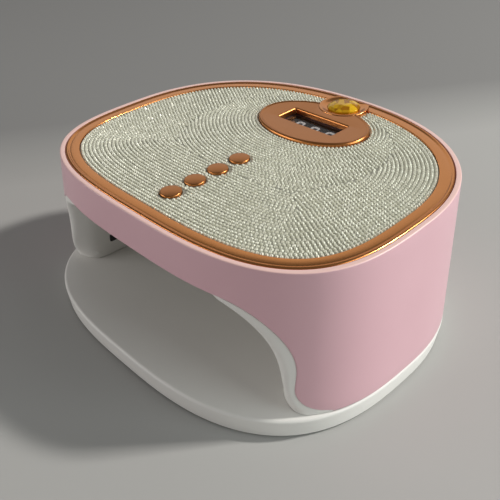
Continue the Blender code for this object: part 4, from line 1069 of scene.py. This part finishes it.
def make_led_boards():
    """White boards behind the liner with clear domed diodes that look into the tunnel."""
    low = LINER_WALL + GAP
    dome = [(LED_RADIUS * math.sin(turn), LED_DOME * (1 - math.cos(turn)) - LED_REACH)
            for turn in quarter_turn(8)]
    dome += [(LED_RADIUS, low + LED_BOARD_THICKNESS / 2), (0, low + LED_BOARD_THICKNESS / 2)]
    for name, (place, rows) in LED_BOARDS.items():
        size = ((LED_COLUMNS - 1) * LED_PITCH_ALONG + 2 * LED_BOARD_MARGIN,
                (rows - 1) * LED_PITCH_ACROSS + 2 * LED_BOARD_MARGIN)
        plate = moved(slab(size, LED_BOARD_CORNER, low, low + LED_BOARD_THICKNESS), place)
        piece(name + "_plate", plate, LED_BOARD, "lamp_head", [name])
        domes = [moved(spun(dome, LED_STEPS), led) for led in led_frames(place, rows)]
        piece(name + "_diodes", gathered(domes), DIODE, "lamp_head")


# Trim, stones, display and jewel

def trim_profile():
    """Distances in from the rim's edge and levels: bead, shallow groove and low-crowned band."""
    half = BEAD_WIDTH / 2
    crest, groove = BEAD_FOOT + BEAD_HEIGHT, BAND_LEVEL - GROOVE_DEPTH
    line = [(TRIM_OUTER, SEAT_LEVEL)]
    line += [(TRIM_OUTER + half * (1 - math.cos(turn)), BEAD_FOOT + BEAD_HEIGHT * math.sin(turn))
             for turn in quarter_turn(9)]
    line += [(TRIM_OUTER + half + half * share, eased(crest, groove, share))
             for share in evenly(10)[1:]]
    flat = BAND_WIDTH - BAND_EDGE
    line += [(BAND_OUTER + flat * share, BAND_LEVEL + BAND_CROWN * 4 * share * (1 - share))
             for share in evenly(9)[:-1]]
    line += rounded_edge(BAND_INNER, BAND_LEVEL, BAND_EDGE, 7)[::-1]
    line.append((BAND_INNER, SEAT_LEVEL))
    return line


def rim_block(inward):
    """Upright block of the plan inside a given distance from the rim's edge."""
    plan = inset(RIM, inward)
    return skin([under_rim(plan, level) for level in RIM_CUT])


def setting_block():
    """Block of the setting's round plan with its clearance, kept inside the trim's bead."""
    block = on_rim(rod(SETTING_RADIUS + SETTING_JOINT, *RIM_CUT, SETTING_STEPS), 0, JEWEL_Y)
    return carved(block, rim_block(BEAD_INNER + GROOVE_WIDTH / 2), "INTERSECT")


def make_trim():
    """Plated ring inside the lip, cut out for the jewel's setting."""
    rows = [under_rim(inset(RIM, inward), level) for inward, level in trim_profile()]
    ring = carved(skin(rows, "ring"), setting_block())
    piece("plated_trim", ring, ROSE_GOLD, "lamp_head", ["trim_ring"])


def bezel_oval(growth, count):
    """The bezel's outline about its own middle, grown by a distance."""
    turn = np.linspace(0.0, 2 * math.pi, count, endpoint=False)
    line = np.column_stack([BEZEL_HALF_WIDTH * np.sin(turn), BEZEL_HALF_DEPTH * np.cos(turn)])
    return inset(line, -growth)


def make_bezel():
    """Oval plate with a rolled rim, a soft-edged sunk window and a bite for the jewel's setting."""
    count = RIM_POINTS
    half = BEZEL_RIM_WIDTH / 2
    crest = BEZEL_LEVEL + BEZEL_RIM_RISE
    rows = [at_height(bezel_oval(0.0, count), SEAT_LEVEL)]
    for growth, level in rounded_edge(0.0, crest, half, 8):
        rows.append(at_height(bezel_oval(growth, count), level))
    for share in evenly(8)[1:]:
        rows.append(at_height(bezel_oval(-half - half * share, count),
                              eased(crest, BEZEL_LEVEL, share)))
    for turn in quarter_turn(6):
        growth = WINDOW_EDGE * (1 - math.sin(turn))
        size = [length + 2 * growth for length in WINDOW_SIZE]
        window = rounded_window(size, WINDOW_CORNER + growth, count)
        rows.append(at_height(window, BEZEL_LEVEL - WINDOW_EDGE * (1 - math.cos(turn))))
    rows.append(at_height(rounded_window(WINDOW_SIZE, WINDOW_CORNER, count), SEAT_LEVEL))
    plate = on_rim(skin(rows, "ring"), 0, DISPLAY_Y)
    piece("display_surround", carved(plate, setting_block()), SATIN_GOLD, "lamp_head",
          ["display_bezel"])


def make_digits():
    """Seven-segment digits in the wells of the display module, all showing zero."""
    length, width, height = DIGIT_BAR
    half = length / 2
    places = [(0.0, up * length, 0.0) for up in (1, -1)]
    places += [(side * half, up * half, math.pi / 2) for side in (1, -1) for up in (1, -1)]
    bars = []
    for k in range(DIGIT_COUNT):
        middle = (k - (DIGIT_COUNT - 1) / 2) * DIGIT_PITCH
        for x, y, turn in places:
            bar = slab((length - DIGIT_BAR_GAP, width), DIGIT_BAR_CORNER, 0.0, height, 1)
            place = Matrix.Translation((middle + x, y, DIGIT_LEVEL))
            bars.append(moved(bar, place @ Matrix.Rotation(turn, 4, "Z")))
    digits = on_rim(gathered(bars), 0, DISPLAY_Y)
    piece("display_digits", digits, DIGIT, "lamp_head", smooth=False)


def make_setting():
    """Turned dish with a rounded rim, a soft slope and a pocket, trimmed where the bead passes."""
    half = SETTING_RIM_WIDTH / 2
    pocket = JEWEL_RADIUS + GAP
    slope = SETTING_RADIUS - half - pocket
    line = [(0, SEAT_LEVEL), (SETTING_RADIUS, SEAT_LEVEL)]
    line += rounded_edge(SETTING_RADIUS, SETTING_LEVEL, half, 7)
    line += [(pocket + slope * (1 - share), eased(SETTING_LEVEL, JEWEL_SEAT, share))
             for share in evenly(12)[1:]]
    line += [(pocket, JEWEL_SEAT - SEAT_DEPTH), (0, JEWEL_SEAT - SEAT_DEPTH)]
    dish = on_rim(spun(line, SETTING_STEPS), 0, JEWEL_Y)
    piece("jewel_dish", carved(dish, rim_block(BAND_OUTER), "INTERSECT"), ROSE_GOLD, "lamp_head",
          ["jewel_setting"])


def make_jewel():
    """Cut stone: the hull of a round girdle, two break lines and a table."""
    low = JEWEL_SEAT - SEAT_DEPTH + GAP
    bm = bmesh.new()
    for inward, height, corners, shift in JEWEL_CUT:
        lift = Matrix.Translation((0, 0, low + height * MM))
        turn = Matrix.Rotation(shift * 2 * math.pi / corners, 4, "Z")
        bmesh.ops.create_circle(bm, segments=corners, radius=JEWEL_RADIUS - inward * MM,
                                matrix=lift @ turn)
    bmesh.ops.convex_hull(bm, input=bm.verts)
    loose = [edge for edge in bm.edges if not edge.link_faces]
    bmesh.ops.delete(bm, geom=loose, context="EDGES")
    bmesh.ops.recalc_face_normals(bm, faces=bm.faces)
    piece("amber_stone", on_rim(bm, 0, JEWEL_Y), AMBER, "lamp_head", ["jewel"],
          smooth=False)


def make_stone_bed():
    """Plate under the stones, cut out for the buttons, the bezel and the jewel's setting."""
    plan = inset(RIM, PANEL_EDGE)
    plate = skin([under_rim(plan, SEAT_LEVEL), under_rim(plan, PANEL_LEVEL)])
    holes = [on_rim(rod(BUTTON_RADIUS + GAP, *RIM_CUT), 0, y) for y in BUTTON_YS]
    bezel = bezel_oval(GAP, RIM_POINTS)
    holes.append(on_rim(skin([at_height(bezel, level) for level in RIM_CUT]), 0, DISPLAY_Y))
    plate = carved(carved(plate, gathered(holes)), setting_block())
    piece("stone_bed", plate, STONE_BED, "lamp_head", ["crystal_panel"])


def loop_places(loop):
    """Even places along a closed row, a stone's pitch apart, with the row's direction at each."""
    closed = np.vstack([loop, loop[:1]])
    length = np.linalg.norm(np.diff(closed, axis=0), axis=1).sum()
    count = int(length / STONE_PITCH)
    places = even_steps(closed, count + 1)
    run = np.diff(places, axis=0)
    return places[:-1], np.arctan2(run[:, 1], run[:, 0])


def tree_of(points):
    """Search tree of plan points."""
    tree = KDTree(len(points))
    for index, (x, y) in enumerate(points):
        tree.insert((x, y, 0.0), index)
    tree.balance()
    return tree


def nearest(places, tree):
    """Distance of plan points from the nearest point in a tree."""
    return np.array([tree.find((x, y, 0.0))[2] for x, y in places])


def clear_of_fittings(places):
    """Which places inside the rim keep a stone clear of buttons, bezel and jewel setting."""
    x, y = places.T
    room = GAP + STONE_RADIUS
    power = np.where(y < 0, FRONT_POWER, REAR_POWER)
    reach = np.where(y < 0, RIM_FRONT_REACH, RIM_REAR_REACH)
    clear = np.abs(x / RIM_HALF_WIDTH) ** power + np.abs(y / reach) ** power < 1
    for button_y in BUTTON_YS:
        clear &= np.hypot(x, y - button_y) > BUTTON_RADIUS + room
    clear &= np.hypot(x, y - JEWEL_Y) > SETTING_RADIUS + room
    wide, deep = BEZEL_HALF_WIDTH + room, BEZEL_HALF_DEPTH + room
    return clear & (np.hypot(x / wide, (y - DISPLAY_Y) / deep) > 1.0)


def rows_along(loops, kept):
    """Stone places and directions on loops, where they are clear of the fittings and kept."""
    rows = []
    for loop in loops:
        places, turns = loop_places(loop)
        use = clear_of_fittings(places)
        places, turns = places[use], turns[use]
        use = kept(places)
        rows.append((places[use], turns[use]))
    return rows


def filling_places(laid, allowed):
    """Places for single stones in the room that the rows leave between them."""
    steps = np.arange(-RIM_HALF_WIDTH, RIM_HALF_WIDTH, STONE_PITCH / 4)
    grid = np.array([(x, y) for y in steps for x in steps])
    grid = grid[clear_of_fittings(grid)]
    room = nearest(grid, tree_of(laid))
    use = (room > FILL_ROOM * STONE_PITCH) & allowed(grid)
    grid, room = grid[use], room[use]
    chosen = []
    for place in grid[np.argsort(-room)]:
        if all(np.hypot(*(place - other)) > FILL_ROOM * STONE_PITCH for other in chosen):
            chosen.append(place)
    return np.array(chosen)


def stone_rows():
    """Rows along the rim to half way, rows round the bezel, and single stones in the room left."""
    rim_tree = tree_of(FINE_RIM)
    bezel_tree = tree_of(bezel_oval(0.0, FINE) + (0, DISPLAY_Y))
    edge_rows = []
    for k in range(EDGE_ROWS):
        inward = FIRST_EDGE_ROW + k * STONE_PITCH

        def nearer_rim(places, inward=inward):
            return ((nearest(places, bezel_tree) > inward - PANEL_EDGE)
                    & (nearest(places, rim_tree) > inward - ROW_SLACK))

        edge_rows += rows_along([inset(FINE_RIM, inward)], nearer_rim)
    laid = np.vstack([places for places, _ in edge_rows])
    laid_tree = tree_of(laid)

    def nearer_bezel(places):
        half_way = FIRST_EDGE_ROW + nearest(places, bezel_tree) - ROW_OVERLAP
        return ((nearest(places, rim_tree) > half_way)
                & (nearest(places, laid_tree) > ROW_ROOM * STONE_PITCH))

    def on_panel(places):
        return nearest(places, rim_tree) > FIRST_EDGE_ROW - ROW_SLACK

    loops = [bezel_oval(FIRST_BEZEL_ROW + k * STONE_PITCH, FINE // 3) + (0, DISPLAY_Y)
             for k in range(EDGE_ROWS)]
    middle_rows = rows_along(loops, nearer_bezel)
    laid = np.vstack([laid] + [places for places, _ in middle_rows])
    filling = filling_places(laid, on_panel)
    middle_rows.append((filling, np.zeros(len(filling))))
    return {"edge_stones": edge_rows, "middle_stones": middle_rows}


def stone_row(places, turns, chance):
    """One row of small cut stones, each tilted a little its own way."""
    bm = bmesh.new()
    slope = Matrix.Rotation(math.atan(RIM_SLOPE), 4, "X")
    for (x, y), turn in zip(places, turns):
        tip, tilt, spin = chance.uniform(-1, 1, 3)
        place = Matrix.Translation((x, y, rim_height(y) + PANEL_LEVEL + STONE_HEIGHT / 2)) @ slope
        for angle, axis in ((STONE_TILT * tip, "X"), (STONE_TILT * tilt, "Y"), (turn + spin, "Z")):
            place = place @ Matrix.Rotation(angle, 4, axis)
        bmesh.ops.create_cone(bm, cap_ends=True, segments=STONE_SIDES, radius1=STONE_RADIUS,
                              radius2=STONE_TABLE, depth=STONE_HEIGHT, matrix=place)
    return bm


def make_stones():
    """The stones, set close on the panel round the buttons, the bezel and the jewel's setting."""
    chance = np.random.default_rng(STONE_SEED)
    for name, rows in stone_rows().items():
        made = [stone_row(places, turns, chance) for places, turns in rows]
        piece(name, gathered(made), STONE, "lamp_head", smooth=False)


def make_buttons():
    """Round caps with a soft edge, a low crown and a flange under the deck."""
    low = FLANGE_TOP - FLANGE_THICKNESS
    line = [(0, low), (FLANGE_RADIUS, low), (FLANGE_RADIUS, FLANGE_TOP),
            (BUTTON_RADIUS, FLANGE_TOP)]
    line += rounded_edge(BUTTON_RADIUS, BUTTON_LEVEL, BUTTON_BEVEL, 8)
    flat = BUTTON_RADIUS - BUTTON_BEVEL
    line += [(flat * (1 - t), BUTTON_LEVEL + BUTTON_CROWN * (1 - (1 - t) ** 2))
             for t in evenly(6)[1:]]
    for k, y in enumerate(BUTTON_YS, 1):
        piece(f"button_cap_{k}", on_rim(spun(line), 0, y), SATIN_GOLD, f"button_{k}",
              [f"timer_button_{k}"])


# Base plate and power inlet

def base_rows():
    """Rows from the top over its rolled edge, down the tapered side and into the underside."""
    plan = plan_outline(BASE_HALF_WIDTH, BASE_REACH, BASE_REACH, BASE_FRONT_POWER, RIM_POINTS)
    line = [(BASE_EDGE * (1 - math.sin(turn)), BASE_TOP - BASE_EDGE * (1 - math.cos(turn)))
            for turn in quarter_turn(8)]
    line += [(BASE_TAPER, BASE_FLOOR + BASE_FOOT_EDGE), (BASE_TAPER + BASE_FOOT_EDGE, BASE_FLOOR),
             (BASE_TAPER + BASE_SKIN, BASE_FLOOR), (BASE_EDGE + BASE_SKIN, BASE_TOP - BASE_SKIN)]
    return [at_height(inset(plan, inward), z) for inward, z in line]


def base_ribs(low, high):
    """Ribs between the bosses of the feet."""
    foot_x, far_y = FEET[-1]
    near_y = FEET[0][1]
    middle = (near_y + far_y) / 2
    across = (2 * foot_x - FOOT_SIZE.x, BASE_RIB)
    along = (BASE_RIB, far_y - near_y - FOOT_SIZE.x)
    ribs = []
    for size, places in ((across, [(0, near_y), (0, far_y)]),
                         (along, [(-foot_x, middle), (foot_x, middle)])):
        ribs += stood(lambda: slab(size, BASE_RIB_CORNER, low, high), places)
    return ribs


def make_base():
    """Shallow tray with ribs, bosses for feet and magnets, locating pins and magnet pockets."""
    skin_level = BASE_TOP - BASE_SKIN / 2
    pocket = MAGNET_SIZE.x / 2 + GAP
    tray = skin(base_rows())
    bosses = stood(lambda: rod(FOOT_SIZE.x / 2 + FOOT_RIM, FOOT_SIZE.z + GAP, skin_level), FEET)
    boss_low = BASE_TOP - MAGNET_SIZE.z - BASE_SKIN
    bosses += stood(lambda: rod(pocket + MAGNET_BOSS_WALL, boss_low, skin_level), MAGNETS)
    tip = BASE_TOP + PIN_HEIGHT
    pin = [(0, skin_level), (PIN_RADIUS, skin_level), (PIN_RADIUS, tip - PIN_LEAD),
           (PIN_RADIUS - PIN_LEAD, tip), (0, tip)]
    bosses += stood(lambda: spun(pin), PINS)
    tray = carved(tray, gathered(bosses), "UNION")
    ribs = base_ribs(BASE_TOP - BASE_SKIN - BASE_RIB_DEPTH, skin_level)
    tray = carved(tray, gathered(ribs), "UNION")
    pocket_low = BASE_TOP - MAGNET_SIZE.z - GAP
    pockets = stood(lambda: rod(pocket, pocket_low, BASE_TOP + MAGNET_SIZE.z), MAGNETS)
    tray = carved(tray, gathered(pockets))
    piece("base_tray", tray, WHITE, "base", ["base_plate"])


def make_inlet():
    """Barrel with its bore, and the pin inside it."""
    low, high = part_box("power_inlet")
    nose = high.y - low.y
    bore = nose - INLET_BORE_DEPTH
    line = [(0, 0), (INLET_NOSE_RADIUS, 0), (INLET_NOSE_RADIUS, nose - INLET_EDGE),
            (INLET_NOSE_RADIUS - INLET_EDGE, nose), (INLET_BORE_RADIUS + INLET_LEAD, nose),
            (INLET_BORE_RADIUS, nose - INLET_LEAD), (INLET_BORE_RADIUS, bore), (0, bore)]
    barrel = facing_back(spun(line), 0, low.y, INLET_HEIGHT)
    piece("inlet_barrel", barrel, BLACK, "lamp_head", ["power_inlet"])
    line = [(0, bore - INLET_PIN_SETBACK), (INLET_PIN_RADIUS, bore - INLET_PIN_SETBACK)]
    line += rounded_edge(INLET_PIN_RADIUS, nose - INLET_PIN_SETBACK, INLET_PIN_RADIUS, 6)
    pin = facing_back(spun(line, INLET_PIN_STEPS), 0, low.y, INLET_HEIGHT)
    piece("inlet_pin", pin, STEEL, "lamp_head")


def finish_inner_nodes():
    """Finishes for the CAD nodes that stay."""
    finishes = {"display_window": LENS, "display_module": BLACK, "hand_sensor": BLACK,
                "switch_plunger": BLACK, "switch_body": STEEL, "board_screw": STEEL,
                "case_screw": STEEL, "power_screw": STEEL, "base_magnet": STEEL,
                "head_magnet": STEEL, "control_board": BOARD, "power_board": BOARD,
                "rubber_foot": RUBBER}
    for name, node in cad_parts.items():
        for start, finish in finishes.items():
            if name.startswith(start):
                node.data.materials.clear()
                node.data.materials.append(finish)


# Studio

CAMERA_PLACE = Vector((224.9, -226.3, 242.5)) * MM
CAMERA_TARGET = Vector((-1.64, -1.66, 28.8)) * MM
CAMERA_LENS = 45.18
CAMERA_SENSOR = 36.0
FLOOR_REACH = 3.0
FLOOR_TONES = (0.42, 0.418, 0.405), (0.44, 0.438, 0.425)
DIAGONAL = math.sqrt(0.5)
# Painted shade on the floor: darker towards the back, where the light falls off
BACK_START = 190 * MM
BACK_FADE = 133 * MM
BACK_SKEW = 0.286
FLOOR_FALLOFF_SHADE = (0.245, 0.244, 0.24)
WORLD_TONE = (0.125, 0.124, 0.122, 1.0)
# Lamps: place, aim, size, power and tint
LAMPS = {
    "key": ((1.35, 1.73, 2.05), (0, 0, 0.05), (0.24, 0.24), 66.0, (1.0, 0.97, 0.93)),
    "right_fill": ((1.33, 0.4, 0.5), (0, 0, 0.05), (0.9, 0.9), 10.2, (0.93, 1.0, 0.985)),
    "back_fill": ((-0.95, 1.15, 0.85), (0, 0, 0.05), (1.9, 0.9), 2.7, (1.0, 1.0, 1.0)),
    "front_fill": ((-0.95, -1.2, 0.36), (0, 0, 0.06), (1.2, 0.5), 8.4, (1.0, 0.97, 0.96)),
}


def aimed(name, data, place, target):
    """A camera or lamp at a place, turned to a target."""
    made = placed(name, data)
    made.location = place
    made.rotation_euler = (Vector(target) - Vector(place)).to_track_quat("-Z", "Y").to_euler()
    return made


def make_camera():
    data = bpy.data.cameras.new("camera")
    data.lens = CAMERA_LENS
    data.sensor_width = CAMERA_SENSOR
    bpy.context.scene.camera = aimed("camera", data, CAMERA_PLACE, CAMERA_TARGET)


def make_floor():
    """Plain floor with painted shade, lighter round the lamp and darker towards the back of the
    studio, where the light falls off.
    """
    finish = Finish("floor_finish")
    cloud = finish.noise(300 * MM, 2.0)
    x, y = finish.coordinate(0), finish.coordinate(1)
    away, side = (y - x) * DIAGONAL, (x + y) * DIAGONAL
    # Painted shade: the floor darkens towards the back
    falloff_shade = finish.ramp((away - side * BACK_SKEW - BACK_START) * (1 / BACK_FADE))
    colour = finish.blend(falloff_shade, finish.blend(cloud, *FLOOR_TONES), FLOOR_FALLOFF_SHADE)
    bm = bmesh.new()
    bmesh.ops.create_grid(bm, x_segments=4, y_segments=4, size=FLOOR_REACH)
    mesh = mesh_of("floor", bm)
    mesh.materials.append(finish.set(base_color=colour, roughness=0.85))
    floor = placed("floor", mesh)


def make_lights():
    """The lamps, and a dim world between them."""
    for name, (place, aim, size, power, tint) in LAMPS.items():
        data = bpy.data.lights.new(name, "AREA")
        data.shape = "RECTANGLE"
        data.size, data.size_y = size
        data.energy = power
        data.color = tint
        aimed(name, data, place, aim)
    world = bpy.data.worlds.new("studio")
    world.use_nodes = True
    world.node_tree.nodes["Background"].inputs["Color"].default_value = WORLD_TONE
    bpy.context.scene.world = world


make_outer_shell()
make_liner()
make_foot_plate()
make_led_boards()
make_trim()
make_bezel()
make_digits()
make_setting()
make_jewel()
make_stone_bed()
make_stones()
make_buttons()
make_base()
make_inlet()
finish_inner_nodes()
make_camera()
make_floor()
make_lights()
bpy.context.scene.view_settings.view_transform = "Standard"
